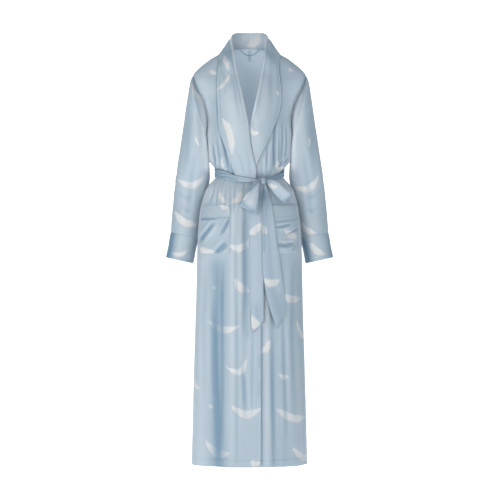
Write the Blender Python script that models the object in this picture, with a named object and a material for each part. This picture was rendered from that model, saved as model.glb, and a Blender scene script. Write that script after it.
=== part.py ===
"""Full-length satin dressing robe with a shawl collar, tied at the waist with a bow.

The robe keeps the hollow, filled-out form of a worn garment with nobody inside. Each
sewn piece is one thin wall, 0.3 mm from its neighbours at the seams.

Frame: +X is the wearer's left, -Y the front, +Z up. The origin lies inside the neck,
level with the points where the collar meets the shoulder line.
"""
import math
from collections import namedtuple

import bpy
import numpy as np

MM = 0.001

# Driving sizes, in metres
CLOTH = 1.6 * MM
CUFF_CLOTH = 2.4 * MM
COLLAR_CLOTH = 1.4 * MM
SEAM = 0.3 * MM
NECK_LEVEL = 16 * MM
NECK_RISE = 9 * MM
COLLAR_END_LEVEL = -395 * MM
WAIST_LEVEL = -388 * MM
SHOULDER_LEVEL = -65 * MM
UNDERARM_LEVEL = -262 * MM
POCKET_TOP = -494 * MM
POCKET_BAND_BOTTOM = -536 * MM
POCKET_BOTTOM = -655 * MM

# Colours of the satin, of the belt and of the neck tab
SATIN = (0.50, 0.60, 0.69)
BELT_SATIN = (0.40, 0.52, 0.63)
TAB_SATIN = (0.60, 0.68, 0.75)
SATIN_ROUGHNESS = 0.42
CREASE_ANGLE = 50

# Grid of the main walls
ARMHOLE_STEPS = 9
FRONT_COLUMNS = 20
BACK_COLUMNS = 34
BELT_COLUMNS = 40
TAIL_COLUMNS = 4
KNOT_COLUMNS = 14
KNOT_RINGS = 7
HANGER_POINTS = 11
TAB_ROWS = 5

# Angle round the body: 0 at the centre front, +90 at the wearer's left side seam
SIDE_ANGLE = 90.0
ARMHOLE_CUT = 26.0
UNDERLAP_DEPTH = 8 * MM
UNDERLAP_TURN = 18.0
UNDERLAP_SQUEEZE = 0.28

# Horizontal sections of the body, in mm: half width and depths to front and back
Section = namedtuple("Section", "level half_width front back")
SECTIONS = (
    Section(30, 45, 38, 50),
    Section(16, 62, 44, 54),
    Section(7, 89, 46, 57),
    Section(-10, 122, 49, 61),
    Section(-30, 150, 54, 66),
    Section(-50, 173, 59, 71),
    Section(-65, 185, 63, 75),
    Section(-90, 190, 72, 82),
    Section(-115, 186, 80, 88),
    Section(-141, 175, 87, 93),
    Section(-168, 163, 93, 97),
    Section(-210, 149, 99, 99),
    Section(-262, 138, 103, 98),
    Section(-315, 131.5, 103, 94),
    Section(-345, 129.5, 100, 92),
    Section(-368, 117, 91, 86),
    Section(-380, 109, 84, 80),
    Section(-396, 108.5, 83, 79),
    Section(-408, 114, 87, 84),
    Section(-426, 131, 95, 91),
    Section(-447, 144, 101, 98),
    Section(-470, 152, 106, 104),
    Section(-495, 159, 110, 110),
    Section(-540, 166, 114, 116),
    Section(-643, 172, 117, 119),
    Section(-808, 176, 119, 121),
    Section(-973, 181, 120, 123),
    Section(-1138, 186, 122, 125),
    Section(-1348, 191, 124, 127),
)

# Levels of the grid rows below the underarm, in mm
LOWER_LEVELS = (
    -300, -335, -360, -376, -392, -408, -426, -450, -494, -536, -596, -655,
    -790, -960, -1150, -1348,
)
SHOULDER_LEVELS = (16, 5, -14, -40)

# Belt run, in mm: height of its middle and half its height, by angle
BeltStop = namedtuple("BeltStop", "angle height half_height")
BELT_RUN = (
    BeltStop(-180, -388, 20),
    BeltStop(-130, -387, 17),
    BeltStop(-90, -389, 13),
    BeltStop(-44, -400, 13),
    BeltStop(-25, -410, 10),
    BeltStop(-8, -415, 8),
    BeltStop(10, -417, 5.5),
    BeltStop(24, -417, 5),
    BeltStop(40, -411, 6),
    BeltStop(61, -402, 9),
    BeltStop(90, -388, 12.5),
    BeltStop(130, -387, 17),
    BeltStop(180, -388, 20),
)

# Lines along the belt: share of its half height and bulge in mm, and its lifts off the cloth
BeltLine = namedtuple("BeltLine", "share bulge")
BELT_LINES = (
    BeltLine(1.0, 0.2),
    BeltLine(0.4, 1.6),
    BeltLine(-0.4, 1.6),
    BeltLine(-1.0, 0.2),
)
BELT_LIFT = 3.0 * MM
BELT_COLLAR_LIFT = 3.2 * MM
BELT_EDGE_LIFT = 1.2 * MM
BELT_FLARE = 1.15

# Inner edges of the fronts, in mm, towards the piece's own side; below zero is past the centre
FrontEdge = namedtuple("FrontEdge", "height over under")
FRONT_EDGES = (
    FrontEdge(30, 56, 56),
    FrontEdge(16, 56, 56),
    FrontEdge(0, 54.5, 54.5),
    FrontEdge(-20, 51.5, 51.5),
    FrontEdge(-42, 48.5, 48.5),
    FrontEdge(-78, 43, 43),
    FrontEdge(-114, 35.7, 35.7),
    FrontEdge(-147, 28.3, 28.3),
    FrontEdge(-180, 21.8, 21.8),
    FrontEdge(-213, 15.3, 15.3),
    FrontEdge(-247, 9.5, 9.5),
    FrontEdge(-303, 3, 3),
    FrontEdge(-345, -6.6, -6.6),
    FrontEdge(-378, -13, -13),
    FrontEdge(-410, -15, -15),
    FrontEdge(-440, -24, -30),
    FrontEdge(-500, -31, -50),
    FrontEdge(-600, -36, -65),
    FrontEdge(-700, -37.5, -70),
    FrontEdge(-1348, -37.5, -70),
)

# Long folds: angle at the top, drift to the bottom in degrees, levels, height and half width
Fold = namedtuple("Fold", "angle drift top bottom height half_width")
FOLDS = (
    Fold(-62, -4, -560, -1500, 3.0, 17),
    Fold(-37, 3, -640, -1500, -6.5, 17),
    Fold(-19, 0, -440, -1500, 4.0, 9),
    Fold(-4, 1, -450, -1050, -4.0, 8),
    Fold(21, -2, -560, -1500, 3.0, 7),
    Fold(28, -1, -560, -1500, -5.0, 8),
    Fold(48, 3, -600, -1500, 3.5, 12),
    Fold(70, 2, -640, -1500, -4.0, 13),
    Fold(112, 4, -600, -1500, -6.0, 15),
    Fold(138, 2, -520, -1500, 4.5, 12),
    Fold(157, -2, -480, -1500, -6.5, 12),
    Fold(177, 3, -500, -1500, 5.0, 11),
    Fold(-163, 1, -560, -1500, -5.5, 10),
    Fold(-145, -3, -480, -1500, 4.0, 11),
    Fold(-122, -2, -640, -1500, -6.5, 14),
    Fold(-66, 6, -270, -400, -4.0, 9),
    Fold(-48, 10, -255, -400, -3.5, 7),
    Fold(52, -6, -250, -400, -4.5, 8),
    Fold(38, -2, -290, -400, -3.0, 6),
    Fold(150, 4, -200, -400, -4.0, 10),
    Fold(-152, -3, -220, -400, -4.0, 10),
)
GATHER_COUNT = 24
GATHER_HEIGHT = 2.1 * MM
GATHER_RUN_DOWN = 90 * MM
GATHER_RUN_UP = 62 * MM

# Sleeve rings, in mm, each from its outermost to its innermost point
SleeveRing = namedtuple("SleeveRing", "outer_x outer_z inner_x inner_z half_depth middle_y")
SLEEVE_RINGS = (
    SleeveRing(196, -90, 142.5, -267, 45, 2),
    SleeveRing(203, -130, 143, -279, 49, 4),
    SleeveRing(211, -182, 141, -298, 52, 7),
    SleeveRing(219, -240, 138, -326, 53, 12),
    SleeveRing(230, -312, 134, -362, 53, 20),
    SleeveRing(242, -386, 131.5, -412, 52, 36),
    SleeveRing(251, -455, 143, -474, 49, 57),
    SleeveRing(257.5, -520, 157, -537, 47, 61),
    SleeveRing(261, -566, 167, -584, 45.5, 59),
    SleeveRing(262, -584, 169.5, -602, 45, 58),
)
SLEEVE_SEAM_GAP = 1.4 * SEAM
CUFF_RINGS = (
    SleeveRing(262.4, -585, 169.6, -603, 45.2, 58),
    SleeveRing(270.5, -628, 178, -647, 45.6, 57),
    SleeveRing(278, -668, 186.5, -688, 45.8, 56),
)

# Collar round the back of the neck, in mm: seam, roll line and outer edge
NeckRow = namedtuple("NeckRow", "seam_angle roll_x roll_y roll_z edge_angle edge_level")
NECK_ROWS = (
    NeckRow(180, 0, 66, 79, 180, -6),
    NeckRow(152, 27, 61, 79, 158, -6),
    NeckRow(130, 43, 47, 77, 138, -6),
    NeckRow(108, 53.5, 28, 70, 116, -2),
    NeckRow(98, 56, 14, 64, 101, 4),
    NeckRow(90, 57, 5, 58, 88, 5.5),
    NeckRow(78, 56.5, -5, 47, 64, -4),
    NeckRow(66, 54.5, -17, 30, 44, -22),
)

# Path over the collar at the neck, in mm: rise above the roll line and reach out from it
RollStop = namedtuple("RollStop", "rise reach")
NECK_ROLL = (
    RollStop(-6, -0.6),
    RollStop(-1.5, 0.3),
    RollStop(0, 2.2),
    RollStop(-1.2, 4.6),
    RollStop(-6, 6.2),
)
# The fall of the collar: share of the way from the roll to the edge, and the lift off the body
FallStop = namedtuple("FallStop", "share lift")
NECK_FALL = (
    FallStop(0.28, 7.2),
    FallStop(0.50, 7.0),
    FallStop(0.72, 5.0),
    FallStop(0.90, 2.4),
)
LAPEL_FALL = (
    FallStop(0.22, 5.0),
    FallStop(0.42, 5.4),
    FallStop(0.62, 5.2),
    FallStop(0.82, 4.6),
    FallStop(1.0, 3.8),
)
# Edge of the lapel's roll: share of the strip beyond it, reach past it in mm, drop and lift
LapelStop = namedtuple("LapelStop", "strip reach drop lift")
LAPEL_ROLL = (
    LapelStop(0.60, 0, 0, -1.0),
    LapelStop(0.25, 0, 0, -0.9),
    LapelStop(0, 1.0, 0, -0.1),
    LapelStop(0, 0, 0, 1.3),
    LapelStop(0, 1.0, 0, 2.8),
    LapelStop(0, 4.0, 0.5, 3.9),
)
COLLAR_EDGE_LIFT = 3.2 * MM
STAND_SHARE = 0.45
BULGE_RISE = 0.35
FRONT_SEAM_GAP = 4.0 * SEAM
LAPEL_SEAM_GAP = 1.4 * SEAM

# Collar down the fronts, in mm, towards the piece's own side
LapelRow = namedtuple("LapelRow", "roll_x roll_z edge_x edge_z")
LAPEL_OVER = (
    LapelRow(48.5, -2, 101, -48),
    LapelRow(42.5, -38, 105, -86),
    LapelRow(35.7, -75, 105.5, -120),
    LapelRow(28, -112, 102.6, -152),
    LapelRow(20.5, -146, 101, -182),
    LapelRow(14, -179, 100, -210),
    LapelRow(7.3, -213, 98.5, -240),
    LapelRow(1.5, -247, 91, -270),
    LapelRow(-5, -301, 74, -318),
    LapelRow(-14.6, -345, 62, -352),
    LapelRow(-21, -378, 53, -378),
    LapelRow(-22, -410, 42, -408),
)
LAPEL_UNDER = (
    LapelRow(48.5, -2, 94, -46),
    LapelRow(42.5, -38, 98, -84),
    LapelRow(35.7, -75, 101.5, -114),
    LapelRow(28, -112, 102, -144),
    LapelRow(20.5, -146, 99.5, -174),
    LapelRow(14, -179, 92, -206),
    LapelRow(7.3, -213, 80, -237),
    LapelRow(1.5, -247, 66, -269),
    LapelRow(-5, -301, 50, -308),
    LapelRow(-14.6, -345, 32, -344),
    LapelRow(-21, -378, 22, -376),
    LapelRow(-22, -410, 16, -406),
)

# Pocket spans round the body, in degrees from the centre front, and lifts off the front
POCKET_SPANS = {"right": (-72.0, -22.5), "left": (25.5, 71.0)}
POCKET_MOUTH_LIFT = 2.6 * MM
POCKET_SEAM_LIFT = 1.6 * MM
POCKET_LIFT = 2.4 * MM

# Knot: middle and half sizes, in mm; its depth is seated on the belt
KNOT_X = 45.5 * MM
KNOT_Z = -420 * MM
KNOT_HALF = (11.5 * MM, 8.5 * MM, 11 * MM)
KNOT_SEAT = 0.85 * MM
KNOT_GROOVE = 0.07
KNOT_FULLNESS = 0.8

# Bow loops, in mm: middle of the ribbon, half its width and its slant in degrees
LoopRow = namedtuple("LoopRow", "x y z half_width slant")
LOOP_RIGHT = (
    LoopRow(34.0, -103.4, -423, 5, -70),
    LoopRow(23, -117, -439, 12, -42),
    LoopRow(13, -131, -462, 20, -24),
    LoopRow(3, -141, -490, 26, -26),
    LoopRow(-4, -142, -508, 29, -27),
    LoopRow(-6, -136.5, -514, 29, -27),
    LoopRow(-7, -130.5, -508, 28, -27),
    LoopRow(-3, -127, -488, 25, -28),
    LoopRow(4, -120.5, -462, 20, -30),
    LoopRow(14, -111, -439, 12, -46),
    LoopRow(34.7, -97.5, -420, 5, -70),
)
LOOP_LEFT = (
    LoopRow(57.6, -103.6, -422, 5, 70),
    LoopRow(72, -114, -430, 14, 56),
    LoopRow(90, -114, -446, 18, 54),
    LoopRow(108, -109, -463, 20, 52),
    LoopRow(122, -103, -474, 19, 50),
    LoopRow(126, -96, -477, 19, 50),
    LoopRow(122, -90, -473, 19, 50),
    LoopRow(107, -95, -460, 20, 52),
    LoopRow(89, -99, -443, 18, 54),
    LoopRow(72, -101, -427, 13, 56),
    LoopRow(56.6, -97.6, -419, 5, 70),
)

LOOP_LINES = (-1.0, -0.5, 0.0, 0.5, 1.0)
LOOP_CROWN = 0.08

# Hanging belt ends, in mm: both edges, the lift off the skirt and how far they follow it
TailRow = namedtuple("TailRow", "left_x left_z right_x right_z lift follow")
TAIL_RIGHT = (
    TailRow(37, -430, 44.6, -431.5, 5, 0.0),
    TailRow(24, -452, 44.2, -452, 5, 0.6),
    TailRow(7, -481, 43.2, -481, 5, 1.0),
    TailRow(-4, -527, 43, -527, 5, 1.0),
    TailRow(-2, -611, 44, -611, 5.5, 1.0),
    TailRow(1, -708, 44.6, -708, 6, 1.0),
    TailRow(2.5, -806, 45.4, -806, 6, 1.0),
    TailRow(8, -913, 45.4, -871, 6, 1.0),
)
TAIL_LEFT = (
    TailRow(45.8, -431.5, 54, -430, 4, 0.0),
    TailRow(47.5, -452, 61, -452, 4, 0.6),
    TailRow(49, -481, 69.7, -481, 7.5, 1.0),
    TailRow(48.5, -527, 78.5, -527, 8.5, 1.0),
    TailRow(47.5, -611, 89, -611, 8.5, 1.0),
    TailRow(48, -708, 102, -708, 7.5, 1.0),
    TailRow(58, -796, 112, -780, 7, 1.0),
    TailRow(86, -897, 121.6, -848, 7, 1.0),
)
TAIL_WAVE = 1.0 * MM

# Hanger loop and neck tab inside the back of the neck
HANGER_HALF_SPAN = 31.5 * MM
HANGER_TOP = 21.6 * MM
HANGER_SAG = 19 * MM
HANGER_RADIUS = 1.3 * MM
TAB_TOP = 20 * MM
TAB_HALF_WIDTH = 5.8 * MM
TAB_LENGTH = 36 * MM
TAB_CLOTH = 1.0 * MM


class Curve:
    """Smooth curve through one column of a table, flat beyond its ends, with no overshoot."""

    def __init__(self, rows, key, field, unit=MM, key_unit=MM):
        pairs = sorted((getattr(row, key), getattr(row, field)) for row in rows)
        self.x = np.array([pair[0] for pair in pairs]) * key_unit
        self.y = np.array([pair[1] for pair in pairs]) * unit
        step = np.diff(self.x)
        slope = np.diff(self.y) / step
        same_way = slope[1:] * slope[:-1] > 0
        total = np.where(same_way, slope[1:] + slope[:-1], 1.0)
        middle = np.where(same_way, 2 * slope[1:] * slope[:-1] / total, 0.0)
        self.tangent = np.concatenate(([slope[0]], middle, [slope[-1]]))

    def __call__(self, value):
        value = np.clip(value, self.x[0], self.x[-1])
        index = np.clip(np.searchsorted(self.x, value) - 1, 0, len(self.x) - 2)
        step = self.x[index + 1] - self.x[index]
        t = (value - self.x[index]) / step
        rise = (1 + 2 * t) * (1 - t) ** 2 * self.y[index] + t * t * (3 - 2 * t) * self.y[index + 1]
        turn = t * (1 - t) ** 2 * self.tangent[index] - t * t * (1 - t) * self.tangent[index + 1]
        return rise + step * turn


HALF_WIDTH = Curve(SECTIONS, "level", "half_width")
FRONT_DEPTH = Curve(SECTIONS, "level", "front")
BACK_DEPTH = Curve(SECTIONS, "level", "back")
BELT_HEIGHT = Curve(BELT_RUN, "angle", "height", key_unit=1)
BELT_HALF = Curve(BELT_RUN, "angle", "half_height", key_unit=1)
EDGE_CURVES = {
    "right": Curve(FRONT_EDGES, "height", "over"),
    "left": Curve(FRONT_EDGES, "height", "under"),
}
SIGN = {"right": -1.0, "left": 1.0}


def smooth(start, end, value):
    """Rise from 0 at start to 1 at end, with level ends."""
    t = np.clip((value - start) / (end - start), 0.0, 1.0)
    return t * t * (3 - 2 * t)


def wrapped(angle):
    """The same angle between -180 and 180 degrees."""
    return (np.asarray(angle, dtype=float) + 180.0) % 360.0 - 180.0


def waist_dip(angle, level):
    """How far the cloth round the waist follows the belt down at the front."""
    near = 1 - smooth(28 * MM, 135 * MM, np.abs(level - WAIST_LEVEL))
    return (BELT_HEIGHT(wrapped(angle)) - WAIST_LEVEL) * near


def neck_rise(angle, level):
    """The back of the neck stands a little higher than its sides."""
    behind = np.clip(-np.cos(np.radians(angle)), 0, 1)
    return NECK_RISE * behind * smooth(-45 * MM, NECK_LEVEL, level)


def fold_height(angle, level):
    """Long folds and the gathers above and below the belt, as a distance outward."""
    height = np.zeros(np.broadcast(angle, level).shape)
    for fold in FOLDS:
        top = fold.top * MM
        bottom = fold.bottom * MM
        down = np.clip((top - level) / (top - bottom), 0, 1)
        across = wrapped(angle - fold.angle - fold.drift * down) / fold.half_width
        bump = 0.5 + 0.5 * np.cos(np.pi * np.clip(across, -1, 1))
        run = min(120 * MM, 0.45 * (top - bottom))
        ends = smooth(top, top - run, level) * (1 - smooth(bottom + run, bottom, level))
        height = height + fold.height * MM * bump * ends
    turn = np.radians(angle)
    phase = GATHER_COUNT * turn + 1.3 * np.sin(3 * turn + 0.4) + 0.7 * np.sin(5 * turn + 1)
    uneven = 0.75 + 0.25 * np.sin(4 * turn + 2)
    below = WAIST_LEVEL - level
    run = np.where(below > 0, GATHER_RUN_DOWN, GATHER_RUN_UP)
    away = np.abs(below) / run
    strength = np.clip(1 - away, 0, 1) * (0.45 + 0.55 * smooth(0.05, 0.3, away))
    return height + GATHER_HEIGHT * uneven * strength * np.cos(phase)


def body_point(angle, level, lift=0.0, folded=True):
    """Point of the worn cloth at an angle and a level, moved outward by lift."""
    angle = np.asarray(angle, dtype=float)
    level = np.asarray(level, dtype=float)
    turn = np.radians(angle)
    width = HALF_WIDTH(level)
    depth = np.where(np.cos(turn) >= 0, FRONT_DEPTH(level), BACK_DEPTH(level))
    out_x = np.sin(turn) / width
    out_y = -np.cos(turn) / depth
    size = np.hypot(out_x, out_y)
    outward = lift
    if folded:
        outward = outward + fold_height(angle, level)
    x = width * np.sin(turn) + outward * out_x / size
    y = -depth * np.cos(turn) + outward * out_y / size
    z = level + waist_dip(angle, level) + neck_rise(angle, level)
    return np.stack(np.broadcast_arrays(x, y, z), axis=-1)


def front_place(x, height):
    """Angle and level of the front point seen at x and at a height."""
    level = np.asarray(height, dtype=float)
    for _ in range(8):
        angle = np.degrees(np.arcsin(np.clip(x / HALF_WIDTH(level), -1, 1)))
        level = height - waist_dip(angle, level)
    return angle, level


def edge_angle(side, level):
    """Angle of a front's inner edge at a level."""
    angle = np.zeros(np.shape(level))
    for _ in range(8):
        height = level + waist_dip(angle, level)
        across = SIGN[side] * EDGE_CURVES[side](height)
        angle = np.degrees(np.arcsin(np.clip(across / HALF_WIDTH(level), -1, 1)))
    return angle


def armhole_angle(level):
    """Angle from the side seam by which the armhole cuts into a panel."""
    down = np.clip((SHOULDER_LEVEL - level) / (SHOULDER_LEVEL - UNDERARM_LEVEL), 0, 1)
    return ARMHOLE_CUT * np.sqrt(np.clip(1 - (2 * down - 1) ** 2, 0, 1))


def underlap(angle, level):
    """Depth by which the under front lies below the over front near the centre."""
    start = edge_angle("right", level) + 2.0
    near = 1 - smooth(start, start + UNDERLAP_TURN, angle)
    return -UNDERLAP_DEPTH * near * smooth(-165 * MM, -230 * MM, level)


def normals_of(grid, closed):
    """Unit normals of a grid of points, rows by columns."""
    if closed:
        around = np.roll(grid, -1, axis=1) - np.roll(grid, 1, axis=1)
    else:
        around = np.gradient(grid, axis=1)
    along = np.gradient(grid, axis=0)
    normal = np.cross(around, along)
    return normal / np.maximum(np.linalg.norm(normal, axis=-1, keepdims=True), 1e-12)


def wall_faces(rows, columns, closed):
    """Triangles of a closed wall whose two sides are numbered one after the other."""
    count = rows * columns
    spans = columns if closed else columns - 1
    faces = []

    def corner(row, column):
        return row * columns + column % columns

    for row in range(rows - 1):
        for column in range(spans):
            a = corner(row, column)
            b = corner(row, column + 1)
            c = corner(row + 1, column + 1)
            d = corner(row + 1, column)
            for face in ((a, b, c), (a, c, d)):
                faces.append(face)
                faces.append(tuple(count + index for index in reversed(face)))
    rim = []
    for column in range(spans):
        rim.append((corner(0, column + 1), corner(0, column)))
        rim.append((corner(rows - 1, column), corner(rows - 1, column + 1)))
    if not closed:
        for row in range(rows - 1):
            rim.append((corner(row, 0), corner(row + 1, 0)))
            rim.append((corner(row + 1, columns - 1), corner(row, columns - 1)))
    for start, end in rim:
        faces.append((start, end, count + end))
        faces.append((start, count + end, count + start))
    return faces


def signed_volume(points, faces):
    """Volume inside a closed mesh, below zero when its faces point inward."""
    corners = points[np.array(faces)]
    return np.einsum("ij,ij->i", corners[:, 0], np.cross(corners[:, 1], corners[:, 2])).sum()


def cloth_material(name, colour):
    """Satin with the piece's own colour."""
    material = bpy.data.materials.new(name)
    material.use_nodes = True
    shader = material.node_tree.nodes["Principled BSDF"]
    shader.inputs["Base Color"].default_value = (*colour, 1.0)
    shader.inputs["Roughness"].default_value = SATIN_ROUGHNESS
    shader.inputs["Metallic"].default_value = 0.0
    return material


def add_mesh(name, points, faces, colour=SATIN):
    """One named, closed solid with its faces pointing out."""
    points = np.asarray(points)
    if signed_volume(points, faces) < 0:
        faces = [tuple(reversed(face)) for face in faces]
    mesh = bpy.data.meshes.new(name)
    mesh.from_pydata([tuple(point) for point in points.tolist()], [], faces)
    mesh.shade_smooth()
    mesh.set_sharp_from_angle(angle=math.radians(CREASE_ANGLE))
    mesh.materials.append(cloth_material(name + "_satin", colour))
    piece = bpy.data.objects.new(name, mesh)
    bpy.context.scene.collection.objects.link(piece)
    return piece


def tube_sides(grid, thickness):
    """Outer and inner points of a tube's wall, from its outer rings."""
    normal = normals_of(grid, True)
    middle = grid.mean(axis=1, keepdims=True)
    facing = math.copysign(1.0, (normal * (grid - middle)).sum())
    return grid, grid - facing * normal * thickness


def sheet_sides(grid, thickness):
    """The two sides of an open sheet, from its middle points."""
    half = 0.5 * thickness * normals_of(grid, False)
    return grid + half, grid - half


def add_wall(name, outer, inner, closed=False, colour=SATIN):
    """A closed wall between two grids of points."""
    rows, columns = outer.shape[:2]
    points = np.concatenate((outer.reshape(-1, 3), inner.reshape(-1, 3)))
    return add_mesh(name, points, wall_faces(rows, columns, closed), colour)


def body_normal(angle, level, lift_of):
    """Outward normal of the worn cloth, worked out from its own shape."""
    turn = 0.2
    rise = 0.6 * MM
    across = body_point(angle + turn, level, lift_of(angle + turn, level))
    across = across - body_point(angle - turn, level, lift_of(angle - turn, level))
    along = body_point(angle, level + rise, lift_of(angle, level + rise))
    along = along - body_point(angle, level - rise, lift_of(angle, level - rise))
    normal = np.cross(across, along)
    return normal / np.linalg.norm(normal, axis=-1, keepdims=True)


def no_lift(angle, level):
    """A panel that lies at the body's own surface."""
    return np.zeros(np.broadcast(angle, level).shape)


def body_sides(angle, level, lift_of):
    """Outer and inner points of a body panel."""
    outer = body_point(angle, level, lift_of(angle, level))
    return outer, outer - CLOTH * body_normal(angle, level, lift_of)


def body_levels():
    """Levels of the body's rows, from the neck to the hem, close together round the armhole."""
    reach = SHOULDER_LEVEL - UNDERARM_LEVEL
    armhole = [
        SHOULDER_LEVEL - reach * (1 - math.cos(math.pi * step / ARMHOLE_STEPS)) / 2
        for step in range(ARMHOLE_STEPS + 1)
    ]
    upper = [level * MM for level in SHOULDER_LEVELS]
    lower = [level * MM for level in LOWER_LEVELS]
    return np.array(upper + armhole + lower)


LEVELS = body_levels()
ARMHOLE_ROWS = slice(len(SHOULDER_LEVELS), len(SHOULDER_LEVELS) + ARMHOLE_STEPS + 1)


def seam_allowance(level):
    """Half a seam's gap, as an angle round the body."""
    return np.degrees(0.5 * SEAM / FRONT_DEPTH(level))


def front_sides(side):
    """A front, from its inner edge to its side seam or armhole."""
    sign = SIGN[side]
    level = LEVELS[:, None]
    start = edge_angle(side, level)
    end = sign * (SIDE_ANGLE - armhole_angle(level) - seam_allowance(level))
    share = np.linspace(0, 1, FRONT_COLUMNS + 1)[None, :]
    angle = start + (end - start) * share
    level = np.broadcast_to(level, angle.shape)
    return body_sides(angle, level, underlap if side == "left" else no_lift)


def back_sides():
    """The back, from the wearer's left side seam to the right one."""
    level = LEVELS[:, None]
    start = SIDE_ANGLE + armhole_angle(level) + seam_allowance(level)
    share = np.linspace(0, 1, BACK_COLUMNS + 1)[None, :]
    angle = start + (360.0 - 2 * start) * share
    return body_sides(angle, np.broadcast_to(level, angle.shape), no_lift)


def add_body():
    """The back and the two fronts; returns the outer and inner points of each."""
    sides = {"back": back_sides(), "right": front_sides("right"), "left": front_sides("left")}
    add_wall("back", *sides["back"])
    add_wall("front_right", *sides["right"])
    add_wall("front_left", *sides["left"])
    return sides


def armhole_loop(sides, side, layer):
    """Armhole edge of the body: down the front from the shoulder and up the back."""
    front = sides[side][layer][ARMHOLE_ROWS, -1]
    column = 0 if side == "left" else -1
    back = sides["back"][layer][ARMHOLE_ROWS, column]
    shoulder = 0.5 * (front[:1] + back[:1])
    underarm = 0.5 * (front[-1:] + back[-1:])
    return np.concatenate((shoulder, front[1:-1], underarm, back[-2:0:-1]))


def ring_points(ring, sign):
    """Points of a sleeve ring, in the order of the armhole edge."""
    turn = np.pi * np.arange(2 * ARMHOLE_STEPS) / ARMHOLE_STEPS
    outer = np.array((sign * ring.outer_x, ring.middle_y, ring.outer_z)) * MM
    inner = np.array((sign * ring.inner_x, ring.middle_y, ring.inner_z)) * MM
    middle = (outer + inner) / 2
    reach = (outer - inner) / 2
    depth = np.array((0.0, -ring.half_depth * MM, 0.0))
    return middle + np.cos(turn)[:, None] * reach + np.sin(turn)[:, None] * depth


def add_sleeve(sides, side):
    """A sleeve from the armhole to its cuff, and the cuff."""
    sign = SIGN[side]
    seam_outer = armhole_loop(sides, side, 0)
    seam_inner = armhole_loop(sides, side, 1)
    rings = [ring_points(ring, sign) for ring in SLEEVE_RINGS]
    away = rings[0] - seam_outer
    away = away / np.linalg.norm(away, axis=1, keepdims=True) * SLEEVE_SEAM_GAP
    grid = np.array([seam_outer + away] + rings)
    outer, inner = tube_sides(grid, CLOTH)
    # Over the shoulder the wall leaves its seam square to the body's edge
    body_wall = seam_outer - seam_inner
    sleeve_wall = outer[0] - inner[0]
    same_way = (body_wall * sleeve_wall).sum(axis=1, keepdims=True) / CLOTH ** 2
    square = smooth(0.75, 0.92, same_way)
    inner[0] = inner[0] + square * (seam_inner + away - inner[0])
    add_wall("sleeve_" + side, outer, inner, closed=True)
    cuff = np.array([ring_points(ring, sign) for ring in CUFF_RINGS])
    add_wall("cuff_" + side, *tube_sides(cuff, CUFF_CLOTH), closed=True)


def neck_section(row, side):
    """Path across the collar at the neck: up the stand, over the roll and down the fall."""
    at_front = FRONT_SEAM_GAP if row.seam_angle < 70 else 0.0
    seam = body_point(row.seam_angle, NECK_LEVEL)
    seam = seam + np.array((-at_front, 0, 2.0 * SEAM + 0.5 * at_front))
    roll = np.array((row.roll_x, row.roll_y, row.roll_z)) * MM
    edge = body_point(row.edge_angle, row.edge_level * MM, COLLAR_EDGE_LIFT)
    out = np.array((roll[0], roll[1], 0.0))
    out = out / np.linalg.norm(out)
    up = np.array((0.0, 0.0, 1.0))
    bulge = np.array((out[0], out[1], BULGE_RISE))
    path = [seam, seam + STAND_SHARE * (roll - seam)]
    path += [roll + stop.rise * MM * up + stop.reach * MM * out for stop in NECK_ROLL]
    path += [roll + stop.share * (edge - roll) + stop.lift * MM * bulge for stop in NECK_FALL]
    path.append(edge)
    return np.array(path) * np.array((SIGN[side], 1.0, 1.0))


def lapel_section(sides, row, side, lapel):
    """Path across the collar on the chest: out from the seam, round the roll and over the front."""
    sign = SIGN[side]
    outer, inner = sides[side]
    seam = 0.5 * (outer[row, 0] + inner[row, 0])
    inward = outer[row, 0] - outer[row, 1]
    inward = inward / np.linalg.norm(inward)
    roll_z = seam[2]
    roll_x = float(lapel["roll_x"](roll_z))
    edge_x = float(lapel["edge_x"](roll_z))
    edge_z = float(lapel["edge_z"](roll_z))
    strip = sign * seam[0] - roll_x
    # The collar lies flatter under the belt and stands up more beside the neck
    pressed = 1 - 0.25 * float(smooth(-330 * MM, -385 * MM, roll_z))
    pressed = pressed + 0.6 * float(smooth(-70 * MM, 0, roll_z))
    path = [seam + inward * LAPEL_SEAM_GAP]
    for stop in LAPEL_ROLL:
        x = roll_x + stop.strip * strip + stop.reach * MM
        z = roll_z - stop.drop * MM
        path.append(lapel_point(sign * x, z, stop.lift * MM, side))
    for stop in LAPEL_FALL:
        x = roll_x + stop.share * (edge_x - roll_x)
        z = roll_z + stop.share * (edge_z - roll_z)
        path.append(lapel_point(sign * x, z, stop.lift * MM * pressed, side, folded=False))
    return np.array(path)


def lapel_point(x, z, lift, side, folded=True):
    """Point over a front, lifted off it."""
    angle, level = front_place(x, z)
    if side == "right":
        return body_point(angle, level, lift, folded)
    depth = underlap(angle, level)
    squeezed = 1 + UNDERLAP_SQUEEZE * depth / UNDERLAP_DEPTH
    return body_point(angle, level, lift * squeezed + depth, folded)


def add_collar(sides, side, lapel_rows):
    """Half of the shawl collar, from the centre back to the belt."""
    lapel = {
        field: Curve(lapel_rows, "roll_z", field)
        for field in ("roll_x", "edge_x", "edge_z")
    }
    sections = [neck_section(row, side) for row in NECK_ROWS]
    last = int(np.searchsorted(-LEVELS, -COLLAR_END_LEVEL))
    sections += [lapel_section(sides, row, side, lapel) for row in range(1, last)]
    grid = np.array(sections)
    grid[0, :, 0] = SIGN[side] * SEAM
    outer, inner = sheet_sides(grid, COLLAR_CLOTH)
    outer[0, :, 0] = SIGN[side] * 0.5 * SEAM
    inner[0, :, 0] = SIGN[side] * 0.5 * SEAM
    add_wall("collar_" + side, outer, inner)


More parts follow.
